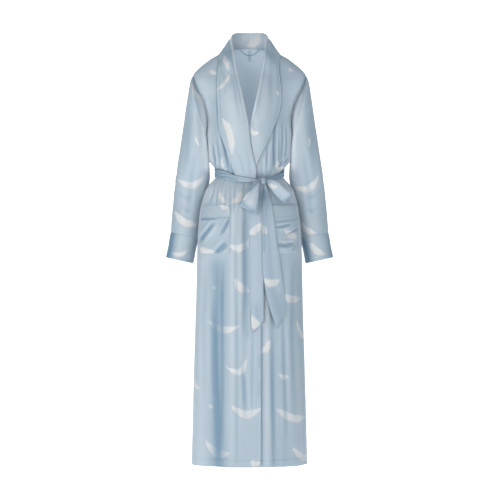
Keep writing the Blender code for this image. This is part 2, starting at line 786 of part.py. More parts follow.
def pocket_columns(side, level):
    """Where a pocket's edges fall between the columns of its front."""
    start = edge_angle(side, level)
    end = SIGN[side] * SIDE_ANGLE
    near, far = sorted(POCKET_SPANS[side], key=abs)
    low = float((near - start) / (end - start)) * FRONT_COLUMNS
    high = float((far - start) / (end - start)) * FRONT_COLUMNS
    between = range(math.ceil(low + 0.2), math.floor(high - 0.2) + 1)
    return [low] + [float(column) for column in between] + [high]


def add_pocket_wall(name, side, outer, inner, rows, lifts):
    """A patch made from its front's points between given rows, moved outward."""
    columns = pocket_columns(side, np.array(POCKET_TOP))
    grid = []
    for row, lift in zip(rows, lifts):
        line = []
        for number, column in enumerate(columns):
            left = min(int(column), FRONT_COLUMNS - 1)
            share = column - left
            point = outer[row, left] * (1 - share) + outer[row, left + 1] * share
            away = point - (inner[row, left] * (1 - share) + inner[row, left + 1] * share)
            away = away / np.linalg.norm(away)
            at_edge = number in (0, len(columns) - 1)
            line.append(point + away * (SEAM if at_edge else lift))
        grid.append(line)
    grid = np.array(grid)
    normal = normals_of(grid, False)
    facing = -1.0 if normal[:, :, 1].sum() > 0 else 1.0
    add_wall(name, grid + facing * normal * CLOTH, grid)


def add_pocket(sides, side):
    """A patch pocket and the band along its mouth."""
    outer, inner = sides[side]
    levels = [round(level / MM) for level in LEVELS]
    top = levels.index(round(POCKET_TOP / MM))
    band = levels.index(round(POCKET_BAND_BOTTOM / MM))
    bottom = levels.index(round(POCKET_BOTTOM / MM))
    add_pocket_wall("pocket_band_" + side, side, outer, inner, (top, band),
                    (POCKET_MOUTH_LIFT, POCKET_SEAM_LIFT))
    rows = list(range(band, bottom + 1))
    lifts = [POCKET_SEAM_LIFT] + [POCKET_LIFT] * (len(rows) - 2) + [SEAM]
    shifted = np.array(outer)
    shifted_inner = np.array(inner)
    down = outer[band + 1] - outer[band]
    drop = 2 * SEAM * down / np.linalg.norm(down, axis=1, keepdims=True)
    shifted[band] = shifted[band] + drop
    shifted_inner[band] = shifted_inner[band] + drop
    add_pocket_wall("pocket_" + side, side, shifted, shifted_inner, rows, lifts)


def belt_lift(angle):
    """Lift of the belt's inner face, higher where it crosses the collar."""
    over_collar = smooth(-38, -26, angle) * (1 - smooth(20, 33, angle))
    return BELT_LIFT + BELT_COLLAR_LIFT * over_collar


def belt_point(angle, share, lift):
    """Point on the belt; share runs from -1 at its lower edge to 1 at its upper edge."""
    wrapped_angle = wrapped(angle)
    level = WAIST_LEVEL + share * BELT_HALF(wrapped_angle)
    smooth_cloth = body_point(angle, np.full(np.shape(angle), WAIST_LEVEL), lift, folded=False)
    at_level = body_point(angle, level, 0.0, folded=False)
    smooth_cloth[..., 2] = at_level[..., 2]
    return smooth_cloth


def belt_flare(angle, share):
    """Extra lift that keeps the belt's edges off the cloth swelling above and below it."""
    level = WAIST_LEVEL + share * BELT_HALF(wrapped(angle))
    swell = np.clip(HALF_WIDTH(level) - HALF_WIDTH(WAIST_LEVEL), 0, None)
    return BELT_EDGE_LIFT * abs(share) + BELT_FLARE * swell


def add_belt():
    """The run of the belt round the waist."""
    angle = np.linspace(-180, 180, BELT_COLUMNS, endpoint=False)
    outer = []
    inner = []
    for line in BELT_LINES:
        lift = belt_lift(wrapped(angle)) + belt_flare(angle, line.share)
        inner.append(belt_point(angle, line.share, lift))
        outer.append(belt_point(angle, line.share, lift + CLOTH + line.bulge * MM))
    add_wall("belt", np.array(outer), np.array(inner), closed=True, colour=BELT_SATIN)
    return np.array(outer)


def knot_middle(belt_outer):
    """Middle of the knot, seated on the front of the belt."""
    strip = belt_outer[1:3].mean(axis=0)
    strip = strip[strip[:, 1] < 0]
    strip = strip[np.argsort(strip[:, 0])]
    across = np.linspace(-0.9, 0.9, 9)
    belt_y = np.interp(KNOT_X + across * KNOT_HALF[0], strip[:, 0], strip[:, 1])
    middle_y = (belt_y - SEAM - KNOT_HALF[1] * np.sqrt(1 - across ** 2)).min()
    return np.array((KNOT_X, middle_y + KNOT_SEAT, KNOT_Z))


def add_knot(middle):
    """The knot: a small tight wrap with grooves running over it."""
    points = [middle + np.array((0, 0, KNOT_HALF[2]))]
    for ring in range(1, KNOT_RINGS):
        polar = math.pi * ring / KNOT_RINGS
        for step in range(KNOT_COLUMNS):
            turn = 2 * math.pi * step / KNOT_COLUMNS
            groove = 1 - KNOT_GROOVE * abs(math.cos(1.5 * turn))
            points.append(middle + np.array((
                KNOT_HALF[0] * math.sin(polar) ** KNOT_FULLNESS * math.cos(turn) * groove,
                KNOT_HALF[1] * math.sin(polar) ** KNOT_FULLNESS * math.sin(turn) * groove,
                KNOT_HALF[2] * math.cos(polar),
            )))
    points.append(middle - np.array((0, 0, KNOT_HALF[2])))
    faces = []
    last = len(points) - 1
    low = 1 + (KNOT_RINGS - 2) * KNOT_COLUMNS
    for step in range(KNOT_COLUMNS):
        after = (step + 1) % KNOT_COLUMNS
        faces.append((0, 1 + step, 1 + after))
        faces.append((last, low + after, low + step))
        for ring in range(KNOT_RINGS - 2):
            a = 1 + ring * KNOT_COLUMNS + step
            b = 1 + ring * KNOT_COLUMNS + after
            faces.append((a, a + KNOT_COLUMNS, b + KNOT_COLUMNS))
            faces.append((a, b + KNOT_COLUMNS, b))
    add_mesh("belt_knot", points, faces, BELT_SATIN)


def add_bow_loop(name, rows):
    """A loop of the bow: a ribbon that runs out, turns round and comes back."""
    grid = []
    for row in rows:
        slant = math.radians(row.slant)
        across = np.array((math.cos(slant), 0.0, math.sin(slant))) * row.half_width * MM
        middle = np.array((row.x, row.y, row.z)) * MM
        crown = np.array((0.0, -LOOP_CROWN * row.half_width * MM, 0.0))
        grid.append([
            middle + share * across + (1 - share * share) * crown
            for share in LOOP_LINES
        ])
    add_wall(name, *sheet_sides(np.array(grid), CLOTH), colour=BELT_SATIN)


def add_tail(name, rows, knot_y):
    """A hanging end of the belt, from the knot down the front of the skirt."""
    grid = []
    for row in rows:
        line = []
        for column in range(TAIL_COLUMNS + 1):
            share = column / TAIL_COLUMNS
            x = (row.left_x + share * (row.right_x - row.left_x)) * MM
            z = (row.left_z + share * (row.right_z - row.left_z)) * MM
            angle, level = front_place(x, np.array(z))
            wave = TAIL_WAVE * math.sin(2 * math.pi * share)
            rest = body_point(angle, level, row.lift * MM + wave, folded=False)
            y = knot_y + row.follow * (rest[1] - knot_y)
            line.append((x, y, z))
        grid.append(line)
    add_wall(name, *sheet_sides(np.array(grid), CLOTH), colour=BELT_SATIN)


def add_hanger_loop(sides):
    """A thin cord that hangs in an arc inside the back of the neck."""
    seam = sides["back"][1][0]
    seam = seam[np.argsort(seam[:, 0])]
    curve = bpy.data.curves.new("hanger_loop", "CURVE")
    curve.dimensions = "3D"
    curve.bevel_depth = HANGER_RADIUS
    curve.bevel_resolution = 2
    curve.use_fill_caps = True
    spline = curve.splines.new("POLY")
    spline.points.add(HANGER_POINTS - 1)
    for number in range(HANGER_POINTS):
        share = 2 * number / (HANGER_POINTS - 1) - 1
        x = HANGER_HALF_SPAN * share
        z = HANGER_TOP - HANGER_SAG * (1 - share ** 2)
        seat_y = np.interp(x, seam[:, 0], seam[:, 1])
        recess = HANGER_RADIUS - SEAM + (TAB_CLOTH + 5 * SEAM) * (1 - share ** 2)
        spline.points[number].co = (x, seat_y - recess, z, 1.0)
    loop = bpy.data.objects.new("hanger_loop", curve)
    loop.data.materials.append(cloth_material("hanger_loop_satin", SATIN))
    bpy.context.scene.collection.objects.link(loop)


def add_neck_tab(sides):
    """A small plain tab that hangs against the inside of the back, under the neck seam."""
    inner = sides["back"][1]
    grid = []
    centre = BACK_COLUMNS // 2
    heights = inner[:, centre, 2]
    for row in range(TAB_ROWS):
        z = TAB_TOP - TAB_LENGTH * row / (TAB_ROWS - 1)
        y = np.interp(-z, -heights, inner[:, centre, 1]) - 2 * SEAM
        grid.append([(x, y, z) for x in (-TAB_HALF_WIDTH, 0.0, TAB_HALF_WIDTH)])
    outer = np.array(grid)
    front = outer - np.array((0.0, TAB_CLOTH, 0.0))
    add_wall("neck_tab", outer, front, colour=TAB_SATIN)


def clear_scene():
    """Remove every object that the file opened with."""
    for item in list(bpy.data.objects):
        bpy.data.objects.remove(item, do_unlink=True)


def main():
    """Build the whole robe."""
    clear_scene()
    sides = add_body()
    for side in ("right", "left"):
        add_sleeve(sides, side)
        add_pocket(sides, side)
    add_collar(sides, "right", LAPEL_OVER)
    add_collar(sides, "left", LAPEL_UNDER)
    knot = knot_middle(add_belt())
    add_knot(knot)
    add_bow_loop("bow_loop_right", LOOP_RIGHT)
    add_bow_loop("bow_loop_left", LOOP_LEFT)
    add_tail("belt_tail_right", TAIL_RIGHT, knot[1])
    add_tail("belt_tail_left", TAIL_LEFT, knot[1])
    add_hanger_loop(sides)
    add_neck_tab(sides)


main()
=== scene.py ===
"""Looks of a full-length satin dressing robe with a shawl collar, tied at the waist with a bow.

Every piece of cloth is a thin shell on the form of its own solid, worked out from the same kind of
sections with a closer grid, finer folds and its own cloth coordinates for weave, print and
stitching. The body and the sleeves are a few millimetres fuller there beside the underarms.

Frame: +X is the wearer's left, -Y the front, +Z up. The origin lies inside the neck.
"""
import math
from collections import namedtuple

import bpy
import numpy as np
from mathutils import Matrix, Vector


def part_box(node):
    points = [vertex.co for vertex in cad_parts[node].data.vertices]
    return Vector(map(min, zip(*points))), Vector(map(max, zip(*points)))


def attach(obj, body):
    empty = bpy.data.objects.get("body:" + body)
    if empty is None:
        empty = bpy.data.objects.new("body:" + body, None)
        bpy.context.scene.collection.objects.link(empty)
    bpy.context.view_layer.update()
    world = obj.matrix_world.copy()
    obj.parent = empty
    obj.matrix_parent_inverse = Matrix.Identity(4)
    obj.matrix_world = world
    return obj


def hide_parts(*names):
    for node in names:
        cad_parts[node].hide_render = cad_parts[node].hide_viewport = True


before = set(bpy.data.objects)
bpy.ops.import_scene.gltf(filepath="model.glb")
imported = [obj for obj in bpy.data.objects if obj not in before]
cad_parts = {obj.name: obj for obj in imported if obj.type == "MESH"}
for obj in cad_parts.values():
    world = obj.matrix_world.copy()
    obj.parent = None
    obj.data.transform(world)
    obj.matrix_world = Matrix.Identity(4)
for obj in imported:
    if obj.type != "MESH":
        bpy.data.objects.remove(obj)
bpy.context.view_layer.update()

MM = 0.001

# Camera: the photograph is 500 by 500, and one pixel is 3.3 mm at the robe's middle plane
PICTURE = 500
PIXEL = 3.3 * MM
EYE_DISTANCE = 6.5
EYE_LEVEL = -643.5 * MM
CENTRE_COLUMN = 249.5
CENTRE_ROW = 250.0
SENSOR_WIDTH = 36.0
CLIP_END = 50.0

# Studio, in metres: floor below the hem, a glowing wall behind the robe and a white surround
FLOOR_DROP = 0.07
WALL_DISTANCE = 3.2
WALL_HALF = 1.7
WALL_TOP = 1.2
SURROUND_RADIUS = 9.0
SURROUND_TOP = 3.0
SURROUND_SIDES = 64
SURROUND_DROP = 10 * MM
FLOOR_HALF = 4.0
FLOOR_NEAR = -6.0
FLOOR_GLOW = 0.80
FULL_GLOW = 1.0
STAGE_ROUGHNESS = 0.9

# Driving sizes, in metres
CLOTH = 1.6 * MM
CUFF_CLOTH = 2.4 * MM
COLLAR_CLOTH = 1.4 * MM
SEAM = 0.3 * MM
NECK_LEVEL = 16 * MM
NECK_RISE = 9 * MM
COLLAR_END_LEVEL = -395 * MM
WAIST_LEVEL = -388 * MM
SHOULDER_LEVEL = -65 * MM
UNDERARM_LEVEL = -262 * MM
POCKET_TOP = -494 * MM
POCKET_BAND_BOTTOM = -536 * MM
POCKET_BOTTOM = -655 * MM
HEM_STITCH = 20 * MM
EDGE_STITCH = 16 * MM
COLLAR_STITCH = 6 * MM
RIBBON_STITCH = 2 * MM
HEM_LEVEL = -1348 * MM
SIDE_ANGLE = 90.0
ARMHOLE_CUT = 26.0
UNDERLAP_DEPTH = 8 * MM
UNDERLAP_TURN = 18.0

# Thickness of the thin shells
SATIN_THICK = 0.7 * MM
FOLDED_THICK = 1.1 * MM

# Horizontal sections of the body, in mm: half width and depths to front and back
Section = namedtuple("Section", "level half_width front back")
SECTIONS = (
    Section(30, 45, 38, 50),
    Section(16, 62, 44, 54),
    Section(7, 89, 46, 57),
    Section(-10, 122, 49, 61),
    Section(-30, 150, 54, 66),
    Section(-50, 173, 59, 71),
    Section(-65, 185, 63, 75),
    Section(-90, 190, 72, 82),
    Section(-115, 186, 80, 88),
    Section(-141, 175, 87, 93),
    Section(-168, 163, 93, 97),
    Section(-210, 149, 99, 99),
    Section(-262, 142, 103, 98),
    Section(-315, 137.2, 103, 94),
    Section(-345, 134.5, 100, 92),
    Section(-368, 117, 91, 86),
    Section(-380, 109, 84, 80),
    Section(-396, 108.5, 83, 79),
    Section(-408, 114, 87, 84),
    Section(-426, 131, 95, 91),
    Section(-447, 144, 101, 98),
    Section(-470, 152, 106, 104),
    Section(-495, 159, 110, 110),
    Section(-540, 166, 114, 116),
    Section(-643, 172, 117, 119),
    Section(-808, 176, 119, 121),
    Section(-973, 181, 120, 123),
    Section(-1138, 186, 122, 125),
    Section(-1348, 191, 124, 127),
)

# Belt run, in mm: height of its middle and half its height, by angle
BeltStop = namedtuple("BeltStop", "angle height half_height")
BELT_RUN = (
    BeltStop(-180, -388, 20),
    BeltStop(-130, -387, 17),
    BeltStop(-90, -389, 13),
    BeltStop(-44, -400, 13),
    BeltStop(-25, -410, 10),
    BeltStop(-8, -415, 8),
    BeltStop(10, -417, 5.5),
    BeltStop(24, -417, 5),
    BeltStop(40, -411, 6),
    BeltStop(61, -402, 9),
    BeltStop(90, -388, 12.5),
    BeltStop(130, -387, 17),
    BeltStop(180, -388, 20),
)

# Inner edges of the fronts, in mm, towards the piece's own side; below zero is past the centre
FrontEdge = namedtuple("FrontEdge", "height over under")
FRONT_EDGES = (
    FrontEdge(30, 56, 56),
    FrontEdge(16, 56, 56),
    FrontEdge(0, 54.5, 54.5),
    FrontEdge(-20, 51.5, 51.5),
    FrontEdge(-42, 48.5, 48.5),
    FrontEdge(-78, 43, 43),
    FrontEdge(-114, 35.7, 35.7),
    FrontEdge(-147, 28.3, 28.3),
    FrontEdge(-180, 21.8, 21.8),
    FrontEdge(-213, 15.3, 15.3),
    FrontEdge(-247, 9.5, 9.5),
    FrontEdge(-303, 3, 3),
    FrontEdge(-345, -6.6, -6.6),
    FrontEdge(-378, -13, -13),
    FrontEdge(-410, -15, -15),
    FrontEdge(-440, -24, -30),
    FrontEdge(-500, -31, -50),
    FrontEdge(-600, -36, -65),
    FrontEdge(-700, -37.5, -70),
    FrontEdge(-1348, -37.5, -70),
)

# Long folds: angle at the top, drift to the bottom in degrees, levels, height and half width
Fold = namedtuple("Fold", "angle drift top bottom height half_width")
FOLDS = (
    Fold(-62, -4, -560, -1500, 3.0, 17),
    Fold(-37, 3, -640, -1500, -6.5, 17),
    Fold(-19, 0, -440, -1500, 4.0, 9),
    Fold(-4, 1, -450, -1050, -4.0, 8),
    Fold(21, -2, -560, -1500, 3.0, 7),
    Fold(28, -1, -560, -1500, -5.0, 8),
    Fold(48, 3, -600, -1500, 3.5, 12),
    Fold(70, 2, -640, -1500, -4.0, 13),
    Fold(112, 4, -600, -1500, -6.0, 15),
    Fold(138, 2, -520, -1500, 4.5, 12),
    Fold(157, -2, -480, -1500, -6.5, 12),
    Fold(177, 3, -500, -1500, 5.0, 11),
    Fold(-163, 1, -560, -1500, -5.5, 10),
    Fold(-145, -3, -480, -1500, 4.0, 11),
    Fold(-122, -2, -640, -1500, -6.5, 14),
    Fold(-66, 6, -270, -400, -4.0, 9),
    Fold(-48, 10, -255, -400, -3.5, 7),
    Fold(52, -6, -250, -400, -4.5, 8),
    Fold(38, -2, -290, -400, -3.0, 6),
    Fold(150, 4, -200, -400, -4.0, 10),
    Fold(-152, -3, -220, -400, -4.0, 10),
)
GATHER_COUNT = 24
GATHER_HEIGHT = 2.1 * MM
GATHER_RUN_DOWN = 90 * MM
GATHER_RUN_UP = 62 * MM

# Sleeve rings, in mm, each from its outermost to its innermost point
SleeveRing = namedtuple("SleeveRing", "outer_x outer_z inner_x inner_z half_depth middle_y")
SLEEVE_RINGS = (
    SleeveRing(196, -90, 142.5, -267, 45, 2),
    SleeveRing(203, -130, 141.0, -279, 49, 4),
    SleeveRing(211, -182, 138.0, -298, 52, 7),
    SleeveRing(219, -240, 135.0, -326, 53, 12),
    SleeveRing(230, -312, 132.6, -362, 53, 20),
    SleeveRing(242, -386, 131.5, -412, 52, 36),
    SleeveRing(251, -455, 143, -474, 49, 57),
    SleeveRing(257.5, -520, 157, -537, 47, 61),
    SleeveRing(261, -566, 167, -584, 45.5, 59),
    SleeveRing(262, -584, 169.5, -602, 45, 58),
)
# Fullness of each ring's inner front: one is an ellipse, and less is squarer
SLEEVE_SQUARENESS = (0.62, 0.62, 0.62, 0.65, 0.72, 0.85, 1.0, 1.0, 1.0, 1.0)
CUFF_RINGS = (
    SleeveRing(262.3, -584, 169.3, -602, 45.4, 58),
    SleeveRing(270.5, -628, 178, -647, 45.6, 57),
    SleeveRing(278, -668, 186.5, -688, 45.8, 56),
)

# Collar round the back of the neck, in mm: seam, roll line and outer edge
NeckRow = namedtuple("NeckRow", "seam_angle roll_x roll_y roll_z edge_angle edge_level")
NECK_ROWS = (
    NeckRow(180, 0, 66, 79, 180, -6),
    NeckRow(152, 27, 61, 79, 158, -6),
    NeckRow(130, 43, 47, 77, 138, -6),
    NeckRow(108, 53.5, 28, 70, 116, -2),
    NeckRow(98, 56, 14, 64, 101, 4),
    NeckRow(90, 57, 5, 58, 88, 5.5),
    NeckRow(78, 56.5, -5, 47, 64, -4),
    NeckRow(66, 54.5, -17, 30, 44, -22),
)

# Collar down the fronts, in mm, towards the piece's own side
LapelRow = namedtuple("LapelRow", "roll_x roll_z edge_x edge_z")
LAPEL_OVER = (
    LapelRow(48.5, -2, 101, -48),
    LapelRow(42.5, -38, 105, -86),
    LapelRow(35.7, -75, 105.5, -120),
    LapelRow(28, -112, 102.6, -152),
    LapelRow(20.5, -146, 101, -182),
    LapelRow(14, -179, 100, -210),
    LapelRow(7.3, -213, 98.5, -240),
    LapelRow(1.5, -247, 91, -270),
    LapelRow(-5, -301, 74, -318),
    LapelRow(-14.6, -345, 62, -352),
    LapelRow(-21, -378, 53, -378),
    LapelRow(-22, -410, 42, -408),
)
LAPEL_UNDER = (
    LapelRow(48.5, -2, 94, -46),
    LapelRow(42.5, -38, 98, -84),
    LapelRow(35.7, -75, 101.5, -114),
    LapelRow(28, -112, 102, -144),
    LapelRow(20.5, -146, 99.5, -174),
    LapelRow(14, -179, 92, -206),
    LapelRow(7.3, -213, 80, -237),
    LapelRow(1.5, -247, 66, -269),
    LapelRow(-5, -301, 50, -308),
    LapelRow(-14.6, -345, 32, -344),
    LapelRow(-21, -378, 22, -376),
    LapelRow(-22, -410, 16, -406),
)

# Parts of a pocket: levels of its edges, lift off the front and rows
PocketPart = namedtuple("PocketPart", "name top bottom lift rows is_band seed")
POCKET_PARTS = (
    PocketPart("pocket_band_", POCKET_TOP, POCKET_BAND_BOTTOM, 1.2 * MM, 14, True, 41),
    PocketPart("pocket_", POCKET_BAND_BOTTOM, POCKET_BOTTOM, 1.4 * MM, 38, False, 43),
)

# Pocket spans round the body, in degrees from the centre front
POCKET_SPANS = {"right": (-72.0, -22.5), "left": (25.5, 71.0)}

# Bow loops, in mm: middle of the ribbon, half its width and its slant in degrees
LoopRow = namedtuple("LoopRow", "x y z half_width slant")
LOOP_RIGHT = (
    LoopRow(34.0, -103.4, -423, 5, -70),
    LoopRow(23, -117, -439, 12, -42),
    LoopRow(13, -131, -462, 20, -24),
    LoopRow(3, -141, -490, 26, -26),
    LoopRow(-4, -142, -508, 29, -27),
    LoopRow(-6, -136.5, -514, 29, -27),
    LoopRow(-7, -130.5, -508, 28, -27),
    LoopRow(-3, -127, -488, 25, -28),
    LoopRow(4, -120.5, -462, 20, -30),
    LoopRow(14, -111, -439, 12, -46),
    LoopRow(34.7, -97.5, -420, 5, -70),
)
LOOP_LEFT = (
    LoopRow(57.6, -103.6, -422, 5, 70),
    LoopRow(72, -114, -430, 14, 56),
    LoopRow(90, -114, -446, 18, 54),
    LoopRow(108, -109, -463, 20, 52),
    LoopRow(122, -103, -474, 19, 50),
    LoopRow(126, -96, -477, 19, 50),
    LoopRow(122, -90, -473, 19, 50),
    LoopRow(107, -95, -460, 20, 52),
    LoopRow(89, -99, -443, 18, 54),
    LoopRow(72, -101, -427, 13, 56),
    LoopRow(56.6, -97.6, -419, 5, 70),
)

# Hanging belt ends, in mm: both edges, the lift off the skirt and how far they follow it
TailRow = namedtuple("TailRow", "left_x left_z right_x right_z lift follow")
TAIL_RIGHT = (
    TailRow(37, -430, 44.6, -431.5, 5, 0.0),
    TailRow(24, -452, 44.2, -452, 5, 0.6),
    TailRow(7, -481, 43.2, -481, 5, 1.0),
    TailRow(-4, -527, 43, -527, 5, 1.0),
    TailRow(-2, -611, 44, -611, 5.5, 1.0),
    TailRow(1, -708, 44.6, -708, 6, 1.0),
    TailRow(2.5, -806, 45.4, -806, 6, 1.0),
    TailRow(8, -913, 45.4, -871, 6, 1.0),
)
TAIL_LEFT = (
    TailRow(45.8, -431.5, 54, -430, 4, 0.0),
    TailRow(45.6, -452, 61, -452, 6.5, 0.6),
    TailRow(43.2, -481, 69.7, -481, 8.8, 1.0),
    TailRow(42, -527, 78.5, -527, 9.4, 1.0),
    TailRow(42, -611, 89, -611, 9.4, 1.0),
    TailRow(43, -708, 102, -708, 9.2, 1.0),
    TailRow(56, -796, 112, -780, 7.6, 1.0),
    TailRow(86, -897, 121.6, -848, 7, 1.0),
)

# Grid of the thin shells
ARMHOLE_STEPS = 60
ROW_STEP = 4.4 * MM
FRONT_COLUMNS = 84
BACK_COLUMNS = 118
SLEEVE_ROWS = 124
CUFF_ROWS = 30
COLLAR_ROWS = 190
COLLAR_COLUMNS = 52
BELT_COLUMNS = 300
BELT_ROWS = 14
RIBBON_COLUMNS = 22
POCKET_COLUMNS = 44
LOOP_ROWS = 120
TAIL_ROWS = 150
KNOT_RINGS = 40
KNOT_COLUMNS = 72
SEAM_COLUMNS = 14

# Where the points of the collar's path lie across it
COLLAR_PLACES = (0, 16, 30, 33, 36, 39, 44, 58, 72, 86, 98, 108)

# Seeds of the random waves; the left side's pieces take the next number
FRONT_SEED = 11
BACK_SEED = 13
SLEEVE_SEED = 21
CUFF_SEED = 31
COLLAR_SEED = 51
LOOP_SEED = 61
TAIL_SEED = 63
PRINT_SEED = 100

# Slow waves of loose cloth: how many, and their turns a metre across and down
DRAPE_WAVES = 7
DRAPE_ACROSS = (14, 42)
DRAPE_DOWN = (1.5, 7)
DRAPE_SCALE = 2.6

# Soft areas of painted shade, by the photograph's columns and rows; below zero they are painted light
Tone = namedtuple("Tone", "path amount half_width")

# Creases, by the photograph's columns and rows: a path, its depth in mm and half width in pixels
Crease = namedtuple("Crease", "path depth half_width")
BODICE_CREASES = (
    Crease(((212, 144), (214.2, 158), (215.5, 170)), 4.6, 1.4),
    Crease(((216, 138), (218, 154), (219.5, 170)), 3.2, 1.2),
    Crease(((220.5, 130), (223.5, 146), (226.5, 160), (228.5, 172)), 6.5, 1.5),
    Crease(((229.5, 150), (232, 164), (235, 175)), 3.2, 1.2),
    Crease(((209.5, 158), (214, 169)), 2.5, 1.4),
    Crease(((268, 145), (267.5, 160), (266.5, 180)), 2.4, 1.2),
    Crease(((276, 118), (275, 145), (274.5, 172)), 5.0, 1.8),
    Crease(((279.5, 126), (279, 150), (278, 168)), 1.8, 0.9),
    Crease(((283, 122), (283, 145), (281.5, 164)), 2.0, 1.0),
    Crease(((286.5, 126), (286.5, 145), (284.5, 160)), 2.0, 1.0),
    Crease(((284, 159), (278.5, 169)), 4.4, 1.4),
    Crease(((288.5, 158), (283, 166)), 4.0, 1.4),
    Crease(((262, 160), (261, 172), (260.5, 180)), 1.6, 1.0),
    Crease(((271.5, 150), (271, 165), (270.5, 176)), 1.6, 0.9),
)
SKIRT_CREASES = (
    Crease(((220, 180), (218, 190), (216, 206)), 3.0, 1.1),
    Crease(((223.5, 181), (221, 193), (219, 203)), 2.6, 1.0),
    Crease(((227.5, 183), (225, 198), (224, 212)), 2.8, 1.0),
    Crease(((231, 184), (230.5, 198), (229.5, 216)), 2.8, 1.1),
    Crease(((235.5, 184), (235, 200), (234, 214)), 2.2, 1.0),
    Crease(((217, 179), (213, 192), (209, 203)), 2.6, 1.2),
    Crease(((283, 180), (286, 192), (289, 203)), 2.6, 1.2),
    Crease(((278, 182), (279, 194)), 2.0, 1.0),
    Crease(((285.5, 179), (291, 190), (295, 203)), 2.4, 1.2),
    Crease(((246, 196), (245, 230), (245.5, 300), (244, 335)), 2.4, 2.0),
    Crease(((241, 365), (244, 380), (245.5, 412)), 2.4, 2.2),
    Crease(((213, 300), (214, 360), (217, 420), (218, 466)), 3.0, 4.0),
    Crease(((223, 258), (221.5, 300), (222, 370), (222.5, 440)), 2.2, 1.8),
    Crease(((235.5, 230), (237, 300), (237.5, 380), (237, 466)), 1.8, 1.8),
    Crease(((205, 262), (203, 320), (204.5, 400)), 1.8, 2.4),
    Crease(((272.5, 335), (273, 390), (274, 466)), 2.4, 2.2),
    Crease(((283.5, 318), (285, 380), (287, 440)), 1.8, 2.0),
    Crease(((293, 262), (292, 330), (295, 420)), 2.2, 2.4),
    Crease(((252.5, 300), (253, 350), (252, 420)), 1.6, 1.6),
)
POCKET_CREASES = (
    Crease(((214, 222), (208, 230), (199, 242)), 4.4, 1.9),
    Crease(((230, 217), (226, 225), (220.5, 234)), 4.0, 1.7),
    Crease(((215, 254), (221, 248), (226, 242)), 4.2, 2.6),
    Crease(((204, 228), (201.5, 238)), 1.4, 1.4),
    Crease(((276, 227), (283, 226), (291, 223.5)), 3.6, 1.3),
    Crease(((285, 235), (293, 231.5), (301, 226)), 3.0, 1.0),
    Crease(((277, 244), (285, 245), (295, 243)), 4.0, 1.9),
    Crease(((292, 250), (297, 244)), 1.6, 1.4),
)
# Painted shadow under the pocket bands, and painted shade and light in the pockets' folds
POCKET_TONES = (
    Tone(((199.5, 219.3), (207, 219.2), (214, 218.8)), 0.45, 1.2),
    Tone(((199.5, 219.3), (214, 218.8), (229.5, 216.6)), 0.55, 1.1),
    Tone(((276, 222), (288, 221), (301, 218.6)), 0.50, 1.0),
    Tone(((227, 221), (221, 233)), 0.30, 3),
    Tone(((211, 226), (202, 239)), 0.30, 2),
    Tone(((217, 251), (224, 246)), 0.35, 4),
    Tone(((209, 236), (215, 230)), -0.30, 3.5),
    Tone(((282, 231), (292, 228)), -0.20, 2.5),
    Tone(((280, 238), (296, 239)), -0.20, 2.5),
)
SLEEVE_CREASES = (
    Crease(((203, 104), (205.5, 116), (207, 135)), 0.7, 1.6),
    Crease(((199, 108), (201, 124), (202, 150)), 1.6, 2.2),
    Crease(((189, 108), (187, 150), (184, 185)), 1.4, 3.2),
    Crease(((195, 150), (190.5, 185), (187, 222)), 1.6, 3.0),
    Crease(((178, 190), (184, 197), (193, 199)), 1.3, 2.2),
    Crease(((180, 206), (187, 210), (194, 209)), 1.1, 2.2),
    Crease(((294.5, 104), (292.5, 118), (291.5, 140)), 0.7, 1.6),
    Crease(((299, 110), (297, 128), (296.5, 155)), 1.6, 2.2),
    Crease(((310, 110), (312, 150), (315, 186)), 1.4, 3.2),
    Crease(((303, 148), (308, 185), (312, 222)), 1.6, 3.0),
    Crease(((321, 188), (315, 196), (306, 198)), 1.3, 2.2),
    Crease(((319, 207), (312, 211), (305, 209)), 1.1, 2.2),
)
COLLAR_CREASES = (
    Crease(((222, 60), (224.5, 78), (224, 96)), 1.0, 2.0),
    Crease(((232, 70), (236, 92), (240, 118)), 0.9, 1.6),
    Crease(((273, 62), (271, 84), (272, 104)), 1.0, 2.0),
    Crease(((236, 150), (242, 163), (245, 176)), 1.2, 1.6),
    Crease(((246, 146), (249.5, 160), (251, 176)), 1.0, 1.2),
)
# The same kind of creases on the back, by columns and rows as seen from the front, through the robe
BACK_CREASES = (
    Crease(((212, 140), (214, 155), (217, 170)), 3.2, 1.6),
    Crease(((222, 128), (223.5, 148), (225, 168)), 3.6, 1.6),
    Crease(((233, 138), (234.5, 155), (235, 168)), 2.6, 1.3),
    Crease(((244, 132), (243.5, 152), (243, 168)), 2.8, 1.4),
    Crease(((255.5, 142), (255, 155), (254.5, 168)), 2.4, 1.2),
    Crease(((266, 126), (265, 148), (263.5, 168)), 3.4, 1.6),
    Crease(((277, 136), (275, 152), (272.5, 168)), 3.0, 1.4),
    Crease(((286, 146), (283.5, 158), (281, 169)), 2.8, 1.4),
    Crease(((214, 180), (212, 200), (210, 222)), 2.6, 1.3),
    Crease(((226, 180), (224.5, 205), (223, 236)), 2.8, 1.4),
    Crease(((240, 180), (239.5, 200), (238, 228)), 2.4, 1.3),
    Crease(((252, 180), (252.5, 204), (253, 232)), 2.6, 1.3),
    Crease(((265, 180), (267, 202), (268, 240)), 2.8, 1.4),
    Crease(((279, 180), (282, 200), (285, 224)), 2.6, 1.3),
    Crease(((217, 280), (215, 350), (214, 440)), 2.6, 3.2),
    Crease(((232, 300), (231, 380), (232, 466)), 2.4, 2.6),
    Crease(((259, 270), (260.5, 350), (262, 440)), 2.4, 2.8),
    Crease(((281, 300), (283, 370), (286, 466)), 2.6, 3.0),
    Crease(((236, 62), (232, 72), (226, 80)), 0.9, 2.4),
    Crease(((264, 62), (268, 73), (274, 81)), 0.9, 2.4),
)
